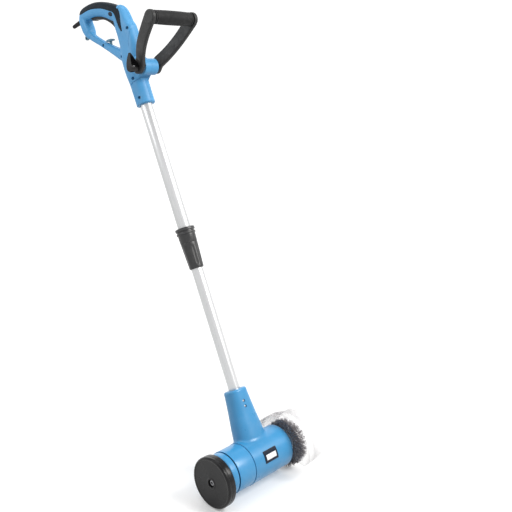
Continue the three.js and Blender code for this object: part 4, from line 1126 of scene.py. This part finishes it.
def arm(side):
    n = 60
    pts = [Vector((side * arm_x(s), BOSS_Y + ad[0] * arm_len * s, BOSS_Z + ad[1] * arm_len * s)) for s in np.linspace(0, 1, n)]
    up = Vector((0, -ad[1], ad[0]))
    st = []
    for i, p in enumerate(pts):
        t = (pts[min(i + 1, n - 1)] - pts[max(i - 1, 0)]).normalized()
        v = t.cross(up).normalized()
        k = i / (n - 1)
        st.append((tuple(p), tuple(up), tuple(v), ARM_HW * (1 - 0.06 * math.sin(math.pi * k)), ARM_HT, 5.5))
    body = loft(st, 72)
    x0, x1 = ARM_X0 - ARM_HT, ARM_X0 + ARM_HT
    x2, x3 = ARM_X1 - ARM_HT, ARM_X1 + ARM_HT
    foot = lathe([(side * a, r) for a, r in rounded([(x0, 0), (x0, 17.0), (x1, 17.0), (x1, 0)], [0, 1.0, 1.6, 0], 5)], "x", 96, (0, BOSS_Y, BOSS_Z))
    top = lathe([(side * a, r) for a, r in rounded([(x2, 0), (x2, 16.6), (x3, 16.6), (x3, 0)], [0, 0.9, 3.4, 0], 6)], "x", 96, (0, BAR_Y, BAR_Z))
    m = heap(body, foot, top)
    remesh(m, 0.62)
    relax(m, 7, 0.5, True)
    relax(m, 3, 0.5)
    # bore for the pivot
    cut(m, rod(-80, 80, 4.4, BOSS_Y, BOSS_Z, 48))
    return m


piece(arm(1), "loop_arm_right", "loop_handle", black_plastic(), ["loop_arm_right"], 40)
piece(arm(-1), "loop_arm_left", "loop_handle", black_plastic(), ["loop_arm_left"], 40)
HALF = ARM_X1 - ARM_HT - 2.0
piece(rod(-HALF, HALF, CORE_R, BAR_Y, BAR_Z, 72, "x", 0.6), "loop_core", "loop_handle", grey_plastic(), ["loop_core"])
e = HALF - 0.4
sleeve = [(-e, CORE_R + 0.3), (-e, 14.2), (-e + 0.6, 15.1), (-e + 3.0, 15.7), (-e + 3.4, 15.0), (-e + 4.2, 15.0), (-e + 4.6, 15.8)]
sleeve += [(x, 16.4 - 0.5 * (abs(x) / 38) ** 2.6) for x in np.linspace(-e + 6, e - 6, 40)]
sleeve += [(e - 4.6, 15.8), (e - 4.2, 15.0), (e - 3.4, 15.0), (e - 3.0, 15.7), (e - 0.6, 15.1), (e, 14.2), (e, CORE_R + 0.3)]
piece(lathe(sleeve, "x", 112, (0, BAR_Y, BAR_Z)), "loop_grip", "loop_handle", soft_rubber(), ["loop_grip"])
for side, name in ((1, "right"), (-1, "left")):
    star = []
    for i in range(72):
        t = 2 * math.pi * i / 72
        star.append(((15.0 + 0.6 * math.cos(24 * t / 1.0 * 0.5)) * math.cos(t), (15.0 + 0.6 * math.cos(12 * t)) * math.sin(t)))
    a, b = BOSS_HALF + 0.3, ARM_X0 - ARM_HT - 0.3
    disc = prism(star, side * a if side > 0 else -b, side * b if side > 0 else -a, at=(0, BOSS_Y, BOSS_Z), edge=0.3, steps=2)
    cut(disc, rod(-40, 40, 4.4, BOSS_Y, BOSS_Z, 40))
    piece(disc, f"detent_disc_{name}", "loop_handle", steel(), [f"detent_disc_{name}"])

PIN_X = 46.6
ld = Vector((0, 0.25, 0.968)).normalized()
ln = Vector((0, ld.z, -ld.y))
PIN_AT = Vector((PIN_X, BOSS_Y, BOSS_Z))


def across(r, h0, h1, segs=32, edge=0.0):
    """Rod along the lever's pin."""
    return prism(ngon(segs, r), h0, h1, (1, 0, 0), tuple(ln.cross(Vector((1, 0, 0)))), tuple(ln), tuple(PIN_AT), edge)


bolt = lathe(rounded([(-38.5, 0), (-38.5, 4), (PIN_X, 4), (PIN_X, 0)], [0, 0.6, 0, 0], 3), "x", 48, (0, BOSS_Y, BOSS_Z))
join(bolt, across(4.6, -3.9, 3.9, 48, 0.5))
cut(bolt, across(2.3, -8, 8))
piece(bolt, "pivot_bolt", "loop_handle", steel(), ["pivot_bolt"])
nut2 = prism(ngon(6, 8), -39, -32.4, at=(0, BOSS_Y, BOSS_Z))
meet(nut2, lathe(rounded([(-39.0, 0), (-39.0, 6.9), (-38.0, 8.05), (-33.3, 8.05), (-32.4, 7.1), (-32.4, 0)], 0, 1), "x", 72, (0, BOSS_Y, BOSS_Z)))
cut(nut2, rod(-45, 0, 4.3, BOSS_Y, BOSS_Z, 40))
piece(nut2, "pivot_nut", "loop_handle", steel(), ["pivot_nut"])
piece(across(2, -9, 9, 32, 0.35), "lever_pin", "loop_handle", steel(), ["lever_pin"])

tear = smooth_line([(0, -13.4), (5, -12.6), (8.2, -9.8), (9.6, -5.5), (9.9, 0), (9.2, 8), (7.4, 17), (4.8, 26), (2, 31.5), (0, 32.6), (-2, 31.5), (-4.8, 26), (-7.4, 17), (-9.2, 8), (-9.9, 0), (-9.6, -5.5), (-8.2, -9.8), (-5, -12.6), (0, -13.4)], 4)[:-1]
side_of = smooth_line([(-14.2, 0), (-13.9, -3), (-12.2, -6.8), (-9.6, -9.9), (-6, -12.2), (-1.5, -13.2), (3, -12.8), (6.2, -10.6), (8.2, -6.5), (8.8, 0), (8.2, 8), (6.8, 17), (4.8, 26), (3, 33), (-0.6, 33), (-3.4, 26), (-6.6, 17), (-10.6, 9), (-13.2, 4), (-14.2, 0)], 4)[:-1]
lever = prism(tear, -16, 12, tuple(ln), tuple(ld), (1, 0, 0), tuple(PIN_AT))
meet(lever, prism(side_of, -12, 12, (1, 0, 0), tuple(ld), tuple(-ln), tuple(PIN_AT)))
remesh(lever, 0.5)
relax(lever, 12, 0.5, True)
relax(lever, 4, 0.5)
cut(lever, prism([(-16, -16), (5.4, -16), (5.4, 5.6), (-16, 5.6)], -4.9, 4.9, (1, 0, 0), tuple(ld), tuple(-ln), tuple(PIN_AT)), across(2.3, -14, 14))
piece(lever, "clamp_lever", "clamp_lever", black_gloss(), ["clamp_lever"], 40)

# ======================================================================= head
neck_rows = np.asarray(NECK, float)
nz = np.linspace(neck_rows[0, 0], neck_rows[-1, 0], 300)
nd = pchip(neck_rows[:, 0], neck_rows, nz)


def f_neck(P):
    q = np.clip(P[:, 2], nz[0], nz[-1])
    a, b, n = (np.interp(q, nz, nd[:, k]) for k in (1, 2, 3))
    return radial(P[:, 0], P[:, 1], P[:, 2] - q, a, b, n, 3.0)


def f_drum(P):
    return np.maximum(np.hypot(P[:, 1], P[:, 2]) - DRUM_R, np.maximum(DRUM_X0 - 4 - P[:, 0], P[:, 0] - SEAM_X - 4))


def f_head(P):
    return smin(f_drum(P), f_neck(P), 6.0)


HV = 1.15
housing = heap(
    rod(DRUM_X0 - 4, SEAM_X + 4, DRUM_R, 0, 0, 128),
    loft([((0, 0, r[0]), (1, 0, 0), (0, 1, 0), r[1], r[2], r[3]) for r in pchip(neck_rows[:, 0], neck_rows, np.linspace(24, 162.6, 70))]),
)
remesh(housing, HV)
relax(housing, 4, 0.5)
snap(housing, f_head, 3)
relax(housing, 1, 0.4)
snap(housing, f_head, 2)
inside = lathe(rounded([(DRUM_X0 + 3, 0), (DRUM_X0 + 3, DRUM_R - 3), (60, DRUM_R - 3), (60, 0)], [0, 2, 0, 0], 4), "x", 128)
up_in = loft([((0, 0, r[0]), (1, 0, 0), (0, 1, 0), r[1] - 3.4, r[2] - 3.4, r[3]) for r in pchip(neck_rows[:, 0], neck_rows, np.linspace(24, 148, 50))])
join(inside, up_in)
cut(inside, lathe([(55, 13), (55, 17.6), (160, 17.6), (160, 13)], "z", 96), lathe([(-75, 13.3), (-75, 16.2), (-63, 16.2), (-63, 13.3)], "x", 96), rod(-75, -64, 5, 0, 24, 40), rod(-75, -67, 4, 30, 17, 32), rod(-75, -67, 4, -30, 17, 32))
cut(housing, inside)
cut(
    housing,
    # the two drum ends, one rolled and one crisp, and the neck's mouth
    lathe(rounded([(DRUM_X0, 0), (DRUM_X0, DRUM_R - 0.1), (DRUM_X0 + 3.6, DRUM_R + 0.25), (DRUM_X0 + 3.6, 60), (-95, 60), (-95, 0)], [0, 3.2, 0, 0, 0, 0], 8), "x", 160),
    lathe([(SEAM_X, 0), (SEAM_X, DRUM_R - 0.55), (SEAM_X - 0.55, DRUM_R + 0.1), (SEAM_X - 0.55, 57), (60, 57), (60, 0)], "x", 160),
    rod(164.5, 180, 40, 0, 0, 64, "z"),
    rod(61.7, 200, 14.3, 0, 0, 96, "z"),
    rod(40, 62, 8, 0, 0, 48, "z"),
    rod(-80, -60, 9, 0, 0, 64), rod(-73, -60, 13.3, 0, 0, 96), rod(-73, -60, 2.8, 0, 24, 32),
    rod(-90, -68.9, 1.9, 30, 17, 24), rod(-90, -68.9, 1.9, -30, 17, 24),
)
# the neck's rolled top edge
lip = block(-40, 40, -40, 40, 157.9, 172)
cut(lip, loft([((0, 0, z), (1, 0, 0), (0, 1, 0), 26.1 - d, 24.0 - d, 2.6) for z, d in ((150, -2.0), (157.0, -0.5), (158.0, -0.02), (159.6, 0.35), (160.8, 1.0), (161.6, 1.9), (162.15, 3.1), (162.4, 4.6))]))
cut(housing, lip)
for x, z in ((4, 134), (4, 121)):
    cut(housing, prism(ngon(32, 1.9), 12, 40, (0, 0, 1), (1, 0, 0), (0, 1, 0), (x, 0, z)), prism(ngon(40, 3.5), 22, 40, (0, 0, 1), (1, 0, 0), (0, 1, 0), (x, 0, z)))
piece(housing, "head_housing", "head", blue_gloss(), ["head_housing"])

for i, (x, z) in enumerate(((4, 134), (4, 121))):
    ob = lathe(rounded([(12.2, 0), (12.2, 1.6), (22.3, 1.6), (22.3, 3.1), (23.6, 3.1), (24.4, 1.6), (24.4, 0)], [0, 0.5, 0, 0.2, 0.7, 1.4, 0], 4), "x", 40)
    for k in range(2):
        a = 0.5 + k * math.pi / 2
        cut(ob, prism([(-1.9, -0.32), (1.9, -0.32), (1.9, 0.32), (-1.9, 0.32)], 23.4, 26, (0, math.cos(a), math.sin(a)), (0, -math.sin(a), math.cos(a)), (1, 0, 0)))
    turn = Matrix(((0, 1, 0, x), (1, 0, 0, 0), (0, 0, 1, z), (0, 0, 0, 1)))
    ob.data.transform(turn)
    ob.data.flip_normals()
    piece(ob, f"neck_screw_{i + 1}", "head", steel(), [f"neck_screw_{i + 1}"])

# Motor cover with a crisp joint, and the ribs that hold the can.
cover_in = DRUM_R - 3
cover = lathe(rounded([(SEAM_X + 0.3, cover_in), (SEAM_X + 0.3, COVER_R - 1.1), (SEAM_X + 1.6, COVER_R - 1.1), (SEAM_X + 1.6, COVER_R), (DRUM_X1, COVER_R), (DRUM_X1, cover_in)], [0.2, 0.2, 0.1, 0.5, 0.8, 0.3], 4, True), "x", 192)
for i in range(4):
    t = math.pi / 4 + i * math.pi / 2
    u, v = (0, math.cos(t), math.sin(t)), (0, -math.sin(t), math.cos(t))
    join(cover, prism([(31.2, -1.25), (cover_in + 1, -1.25), (cover_in + 1, 1.25), (31.2, 1.25)], 49.5, 63.5, u, v, (1, 0, 0), edge=0.3))
piece(cover, "motor_cover", "head", blue_gloss(), ["motor_cover"])

cap = lathe(rounded([(DRUM_X1 + 0.6, 0), (DRUM_X1 + 0.6, CAP_R - 2.2), (DRUM_X1 + 2.6, CAP_R - 2.2), (DRUM_X1 + 2.6, CAP_R), (CAP_X1 - 3.2, CAP_R), (CAP_X1, CAP_R - 4.2), (CAP_X1, 0)], [0, 0.4, 0.3, 0.7, 3.5, 3.0, 0], 6), "x", 192)
join(cap, lathe(rounded([(116, 0), (116, 13), (121.2, 12), (121.2, 0)], [0, 0, 0.6, 0], 4), "x", 96, (0, 0, WHEEL_Z)))
cut(cap, lathe([(97, 17), (97, CAP_R - 4), (115, CAP_R - 4), (115, 17)], "x", 128))
join(cap, lathe([(84, 8.3), (84, 11.5), (100, 11.5), (100, 8.3)], "x", 72))
cut(cap, rod(104.5, 130, 5.3, 0, WHEEL_Z, 48))
piece(cap, "end_cap", "head", blue_gloss(), ["end_cap"])

axle = lathe(rounded([(105, 0), (105, 5), (136.8, 5), (136.8, 7), (141.1, 7), (141.1, 0)], [0, 0.4, 0, 0.3, 1.6, 0], 5), "x", 72, (0, 0, WHEEL_Z))
cut(axle, prism(ngon(6, 3.2), 138.5, 147, at=(0, 0, WHEEL_Z)))
piece(axle, "wheel_axle", "head", steel("axle_zinc", (0.20, 0.20, 0.21), (0.34, 0.52)), ["wheel_axle"])

# Guide wheel: flat glossy face with a raised rim band and a square pocket.
R = WHEEL_R
wp = [(121.5, 5.4), (121.5, 13.5), (130, 14.5), (130.5, R - 14.5), (128.4, R - 12.3), (122.4, R - 10.8), (122.0, R - 9.8), (122.0, R - 3.2), (122.7, R - 1.6), (124.3, R - 0.2), (125.1, R)]
wp += [(134.4, R), (134.8, R - 0.5), (135.7, R - 0.5), (136.1, R), (139.7, R), (141.3, R - 0.4), (143.1, R - 1.6), (143.9, R - 3.2), (144.0, R - 4.4), (143.7, R - 5.6), (143.2, R - 6.3), (143.0, R - 7.4), (143.0, 13.8), (143.4, 12.9), (144.0, 12.2)]
wp += [(144.0, 8.9), (136.5, 8.4), (136.5, 5.4)]
wheel = lathe(rounded(wp, [0.3, 0.6, 1.2] + [0.5] * (len(wp) - 6) + [0.4, 0.2, 0.2], 3, True), "x", 224, (0, 0, WHEEL_Z))
cut(wheel, prism(rounded([(-7.0, -7.0), (7.0, -7.0), (7.0, 7.0), (-7.0, 7.0)], 1.4, 5, True), 139.9, 152, (0, math.cos(0.35), math.sin(0.35)), (0, -math.sin(0.35), math.cos(0.35)), at=(0, 0, WHEEL_Z)))
piece(wheel, "wheel", "wheel", black_gloss(), ["wheel"])

# Name plate, bare: navy with a plain white bar.
def curved_plate(x0, x1, a0, a1, r0, r1, corner, nx=44, na=36):
    """A thin plate wrapped on the drum, with rounded corners."""
    rmid = r1
    h0, h1 = math.radians(a0) * rmid, math.radians(a1) * rmid
    line = rounded([(x0, h0), (x1, h0), (x1, h1), (x0, h1)], corner, 6, True)
    ob = prism(line, r0, r1, (1, 0, 0), (0, 1, 0), (0, 0, 1))
    bm = bmesh.new()
    bm.from_mesh(ob.data)
    drop(ob)
    for k in range(1, na):
        h = h0 + (h1 - h0) * k / na
        bmesh.ops.bisect_plane(bm, geom=bm.verts[:] + bm.edges[:] + bm.faces[:], plane_co=(0, h, 0), plane_no=(0, 1, 0), dist=1e-5)
    for w in bm.verts:
        t = w.co.y / rmid
        r = w.co.z
        w.co = Vector((w.co.x, r * math.cos(t), r * math.sin(t)))
    bmesh.ops.recalc_face_normals(bm, faces=bm.faces[:])
    return bm


plate = curved_plate(-25, 17, -15, 16.5, 50.7, 51.35, 1.6)
for f in plate.faces:
    f.material_index = 0
mark = curved_plate(-20, 11.5, -8.2, 5.2, 51.1, 51.48, 0.8)
n0 = len(plate.faces)
tmp = bpy.data.meshes.new("mark")
mark.to_mesh(tmp)
mark.free()
plate.from_mesh(tmp)
bpy.data.meshes.remove(tmp)
plate.faces.ensure_lookup_table()
for f in plate.faces[n0:]:
    f.material_index = 1
lab = from_bm(plate, recalc=False)
piece(lab, "label_plate", "head", [navy_plastic(), print_white()], ["label_plate"])

# Clear hood: back plate, drum part and tapering rim, swept through part of a turn.
hood = [(-76.4, 24), (-76.4, 80.6), (-77.0, 81.6), (-78.0, 82.0), (-94.0, 82), (-94.6, 81.4), (-96.0, 81.4), (-96.6, 82), (-111, 82), (-112.4, 81.7), (-113.6, 81.2), (-149, 75.1), (-150.4, 75.3), (-151.0, 76.0), (-152.4, 76.0), (-153, 75.3), (-153, 72.6), (-152.2, 72.1)]
hood += [(-113.2, 79.3), (-112, 79.9), (-79.6, 80), (-78.6, 79.6), (-78.4, 78.8), (-78.4, 24)]
a0, a1 = math.radians(-34), math.radians(176)
rows = []
for k in range(181):
    t = a0 + (a1 - a0) * k / 180
    rows.append([(x, r * math.cos(t), GUARD_Z + r * math.sin(t)) for x, r in hood])
guard = grid(rows, caps=(True, True))
cut(guard, rod(-90, -70, 2.1, 30, 17, 24), rod(-90, -70, 2.1, -30, 17, 24), rod(-90, -70, 12, 0, 0, 72))
piece(guard, "brush_guard", "head", clear_plastic(), ["brush_guard"], 50)
for i, (y, z) in enumerate(((30, 17), (-30, 17))):
    ob = lathe(rounded([(-81, 0), (-81, 1.8), (-80.2, 3.2), (-78.7, 3.2), (-78.7, 1.6), (-69.5, 1.6), (-69.5, 0)], [0, 0.9, 0.5, 0.1, 0, 0.4, 0], 4), "x", 40, (0, y, z))
    for k in range(2):
        a = 0.9 + k * math.pi / 2
        cut(ob, prism([(-2, -0.35), (2, -0.35), (2, 0.35), (-2, 0.35)], -83, -79.9, (0, math.cos(a), math.sin(a)), (0, -math.sin(a), math.cos(a)), (1, 0, 0), (0, y, z)))
    piece(ob, f"guard_screw_{i + 1}", "head", steel(), [f"guard_screw_{i + 1}"])

# ====================================================================== brush
def cupped(sign, at):
    """Pressed side plate: dished hub, rolled rim."""
    x = lambda d: at + sign * d
    prof = [(x(-1.0), 5.2), (x(-1.0), 15), (x(0.9), 24.5), (x(0.95), 30.6), (x(0.5), 31.4), (x(-0.3), 31.5), (x(-0.2), 30.6), (x(-0.1), 24.8), (x(-2.0), 15.2), (x(-2.0), 5.2)]
    return lathe(prof, "x", 96)


plate_in = lathe(rounded([(-96.9, 5.2), (-96.9, 16), (-98.7, 26), (-98.7, 31.5), (-97.7, 31.5), (-97.7, 26), (-95.9, 16), (-95.9, 5.2)], 0.35, 3, True), "x", 96)
plate_out = lathe(rounded([(-115.1, 5.2), (-115.1, 16), (-113.3, 26), (-113.3, 31.5), (-112.3, 31.5), (-112.3, 26), (-114.1, 16), (-114.1, 5.2)], 0.35, 3, True), "x", 96)
for i in range(6):
    t = 2 * math.pi * i / 6 + 0.2
    cut(plate_out, rod(-120, -110, 1.7, 21 * math.cos(t), 21 * math.sin(t), 20))
piece(plate_in, "brush_plate_inner", "spindle", zinc(), ["brush_plate_inner"])
piece(plate_out, "brush_plate_outer", "spindle", zinc(), ["brush_plate_outer"])

# The shank: a hexagon bar with a shoulder, and the nut that clamps the two plates.
shank = prism(ngon(6, 4.5), -119.6, -66, edge=0.35, steps=2)
join(shank, lathe(rounded([(-95.5, 0), (-95.5, 12), (-93.1, 12), (-93.1, 0)], [0, 0.5, 0.5, 0], 3), "x", 96))
brush_nut = prism(ngon(6, 9, 0.26), -120.2, -115.6)
meet(brush_nut, lathe(rounded([(-120.2, 0), (-120.2, 7.6), (-119.2, 9.1), (-115.6, 9.1), (-115.6, 0)], 0, 1), "x", 96))
join(shank, brush_nut)
cut(shank, lathe([(-74, 3.6), (-74, 8), (-71, 8), (-71, 3.6)], "x", 48), lathe([(-121, 4.0), (-121, 4.6), (-119.9, 4.6), (-119.9, 4.0)], "x", 48))
piece(shank, "brush_shank", "spindle", zinc(), ["brush_shank"])

core_ring = [(-99.2, 17), (-99.2, 32.5), (-98.6, 37), (-98.8, 40.5), (-101.5, 42.6), (-105.5, 43.2), (-109.5, 42.6), (-112.6, 40.5), (-112.4, 37), (-111.8, 32.5), (-111.8, 17)]


def rough_ring(t, a, r):
    return r if r < 34 else r + 0.7 * math.sin(37 * t + a) + 0.5 * math.sin(83 * t + 2 * a)


piece(lathe(rounded(core_ring, 0.8, 2, True), "x", 220, wave=rough_ring), "brush_core", "spindle", bristle_core())


def strands(count):
    """Filaments: a dense short layer, and long ones in loose tufts with gaps between them.
    They are worn shorter on the side that faces up in the picture."""
    verts, faces = [], []
    for i in range(count):
        long = i % 10 < 4
        if long:
            tuft = RNG.randrange(120)
            t = 2 * math.pi * tuft / 120 + RNG.gauss(0, 0.008)
            lay = ((tuft * 61) % 101) / 50 - 1
            lay = max(-1.0, min(1.0, lay + RNG.gauss(0, 0.14)))
            r1 = RNG.uniform(55.5, 62.4)
        else:
            t = RNG.uniform(0, 2 * math.pi)
            lay = RNG.uniform(-1, 1)
            r1 = RNG.uniform(44, 57)
        worn = max(0.0, 0.5 + 0.5 * (math.sin(t) - 0.5 * math.cos(t)) / 1.12)
        r1 -= (8.0 if long else 3.5) * worn ** 1.5
        x0, x1 = -105.5 + 5.8 * lay, -105.5 + 12.4 * lay + RNG.gauss(0, 1.3)
        x1 = min(max(x1, -118.6), -92.4)
        r0 = 28.0
        lean = RNG.gauss(0, 0.075)
        wave, ph = RNG.uniform(0.4, 1.5), RNG.uniform(0, 6.28)
        thick = RNG.uniform(0.40, 0.66)
        base = len(verts)
        for k in range(6):
            u = k / 5
            r = r0 + (r1 - r0) * u
            a = t + lean * u * u + wave / r * math.sin(ph + 9 * u)
            x = x0 + (x1 - x0) * (0.35 * u + 0.65 * u * u) + 0.35 * wave * math.cos(ph + 8 * u)
            x = min(max(x, -118.8), -92.2)
            w = thick * (1 - 0.35 * u)
            ca, sa = math.cos(a), math.sin(a)
            for j in range(3):
                q = 2 * math.pi * j / 3 + ph
                dx, dt = w * math.cos(q), w * math.sin(q)
                verts.append((x + dx, r * ca - dt * sa, r * sa + dt * ca))
        for k in range(5):
            for j in range(3):
                m = (j + 1) % 3
                faces.append((base + 3 * k + j, base + 3 * k + m, base + 3 * k + 3 + m, base + 3 * k + 3 + j))
        faces.append((base + 2, base + 1, base))
        faces.append((base + 15, base + 16, base + 17))
    me = bpy.data.meshes.new("strands")
    me.from_pydata(verts, [], faces)
    me.update()
    return link(me)


brush = strands(3400)
bm = bmesh.new()
bm.from_mesh(brush.data)
bmesh.ops.recalc_face_normals(bm, faces=bm.faces[:])
bm.to_mesh(brush.data)
bm.free()
piece(brush, "brush_bristles", "spindle", bristle(), ["bristle_ring"], 80)

# ------------------------------------------------- finishes of the CAD nodes
record = frame["record"]
slots = {s["node"]: s.get("material_slot") for s in record.get("subparts", [])}

# Coiled lead in the tubes.
turns, around, wire = 150, 14, 1.5
verts, faces = [], []
for i in range(turns * around + 1):
    a, z = 2 * math.pi * i / around, 141.8 + 808.4 * i / (turns * around)
    for j in range(6):
        q = 2 * math.pi * j / 6
        r = 4.3 + wire * math.cos(q)
        verts.append((r * math.cos(a), r * math.sin(a), z + wire * math.sin(q)))
    if i:
        faces += [(6 * i - 6 + j, 6 * i - 6 + (j + 1) % 6, 6 * i + (j + 1) % 6, 6 * i + j) for j in range(6)]
faces += [tuple(range(6)), tuple(range(len(verts) - 1, len(verts) - 7, -1))]
me = bpy.data.meshes.new("lead_coil")
me.from_pydata(verts, [], faces)
me.update()
bm = bmesh.new()
bm.from_mesh(me)
bmesh.ops.recalc_face_normals(bm, faces=bm.faces[:])
bm.to_mesh(me)
bm.free()
me.transform(STANCE @ Matrix.Scale(0.001, 4))
me.materials.append(soft_rubber())
me.shade_smooth()
coil = link(me, "lead_coil")
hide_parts("coiled_lead")
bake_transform(coil)

# Return spring of the trigger.
verts, faces = [], []
for i in range(97):
    a, h = 2 * math.pi * i / 24, i / 96
    for j in range(6):
        q = 2 * math.pi * j / 6
        r = 2.6 + 0.42 * math.cos(q)
        verts.append((r * math.cos(a), -66.4 + r * math.sin(a) + h * 1.2, 1151.9 + 9.5 * h + 0.42 * math.sin(q)))
    if i:
        faces += [(6 * i - 6 + j, 6 * i - 6 + (j + 1) % 6, 6 * i + (j + 1) % 6, 6 * i + j) for j in range(6)]
faces += [tuple(range(6)), tuple(range(len(verts) - 1, len(verts) - 7, -1))]
me = bpy.data.meshes.new("return_spring")
me.from_pydata(verts, [], faces)
me.update()
bm = bmesh.new()
bm.from_mesh(me)
bmesh.ops.recalc_face_normals(bm, faces=bm.faces[:])
bm.to_mesh(me)
bm.free()
me.transform(STANCE @ Matrix.Scale(0.001, 4))
me.materials.append(steel())
me.shade_smooth()
spring = link(me, "return_spring")
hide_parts("trigger_spring")
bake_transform(spring)

for name, ob in frame["nodes"].items():
    if ob.hide_render:
        continue
    make = SLOT_LOOKS.get(slots.get(name), grey_plastic)
    if name == "coiled_lead":
        make = soft_rubber
    ob.data.materials.clear()
    ob.data.materials.append(make())

# ------------------------------------------------------- floor, light, camera
FLOOR_Z = CAD_BOX[0].z
prof = [(0.02, 0.0)] + [(r, 0.0) for r in (0.5, 1, 2, 3.5, 5, 7.0)]
for k in range(1, 17):
    t = k / 16 * math.pi / 2
    prof.append((7.0 + 4.0 * math.sin(t), 4.0 * (1 - math.cos(t))))
prof.append((11.0, 9.0))
rows = [[(r * math.cos(2 * math.pi * i / 96), 0.25 + r * math.sin(2 * math.pi * i / 96), FLOOR_Z + z) for i in range(96)] for r, z in prof]
floor = grid(rows, caps=(True, False))
floor.name = "studio_floor"
floor.data.name = "studio_floor"


def studio(L):
    L.tint((0.80, 0.80, 0.80), 0.01, 1.5)
    L.rough(0.55, 0.7, 3)
    L.grain(40, 0.0004, 0.1, 3)
    far = L.node("ShaderNodeVectorMath", operation="LENGTH")
    L.link(L.where, "Vector", far, 0)
    glow = L.node("ShaderNodeMapRange", interpolation_type="SMOOTHSTEP")
    for k, v in zip(("From Min", "From Max", "To Min", "To Max"), (1.4, 4.0, 0.17, 0.62)):
        glow.inputs[k].default_value = v
    L.t.links.new(far.outputs["Value"], glow.inputs["Value"])
    L.t.links.new(glow.outputs[0], L.bsdf.inputs["Emission Strength"])
    L.bsdf.inputs["Emission Color"].default_value = (1, 1, 1, 1)


floor.data.materials.append(look("studio_paper", studio))
floor.data.shade_smooth()
floor.visible_diffuse = False
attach(floor, "head")  # the ground stays under the head when the handle is pulled out

RIGHT, DOWN, AHEAD = Vector((-0.687644186, 0.726047844, -0.00004047)), Vector((0.1547697, 0.14652883, -0.97702387)), Vector((-0.70936014, -0.67185105, -0.21312991))
EYE = Vector((1.11972646, 1.5943994, -0.15523672))

world = bpy.data.worlds.new("studio")
world.use_nodes = True
world.node_tree.nodes["Background"].inputs["Color"].default_value = (1, 1, 1, 1)
world.node_tree.nodes["Background"].inputs["Strength"].default_value = 0.56
SCENE.world = world


def lamp(name, at, target, size, power, colour=(1, 1, 1), size_y=None):
    d = bpy.data.lights.new(name, "AREA")
    d.energy = power
    d.color = colour
    d.shape = "RECTANGLE" if size_y else "SQUARE"
    d.size = size
    if size_y:
        d.size_y = size_y
    o = bpy.data.objects.new(name, d)
    SCENE.collection.objects.link(o)
    o.location = at
    o.rotation_euler = (Vector(target) - Vector(at)).to_track_quat("-Z", "Y").to_euler()
    o.visible_camera = False
    return o


MID = Vector((0, 0.28, -0.5))
lamp("key", MID - AHEAD * 0.8 + RIGHT * 2.45 + Vector((0, 0, 1.7)), MID, 1.5, 96, (1, 0.99, 0.97))
lamp("fill", Vector((0.97, -0.31, 0.3)), Vector((0, 0, -0.05)), 0.7, 5.5, (0.97, 0.985, 1))
lamp("top", MID + Vector((0, 0, 2.6)), MID, 2.4, 24)
lamp("back", MID + AHEAD * 2.2 + Vector((0, 0, 1.4)), MID, 2.4, 16)

cam = bpy.data.cameras.new("camera")
cam.lens, cam.sensor_width = 50.88479, 36.0
cam.shift_x, cam.shift_y = 0.0053952, -0.0502538
cam.clip_start, cam.clip_end = 0.05, 60
camera = bpy.data.objects.new("camera", cam)
SCENE.collection.objects.link(camera)
up, back = -DOWN, -AHEAD
camera.matrix_world = Matrix(((RIGHT.x, up.x, back.x, EYE.x), (RIGHT.y, up.y, back.y, EYE.y), (RIGHT.z, up.z, back.z, EYE.z), (0, 0, 0, 1)))
SCENE.camera = camera
SCENE.view_settings.view_transform = "Standard"
SCENE.view_settings.look = "None"
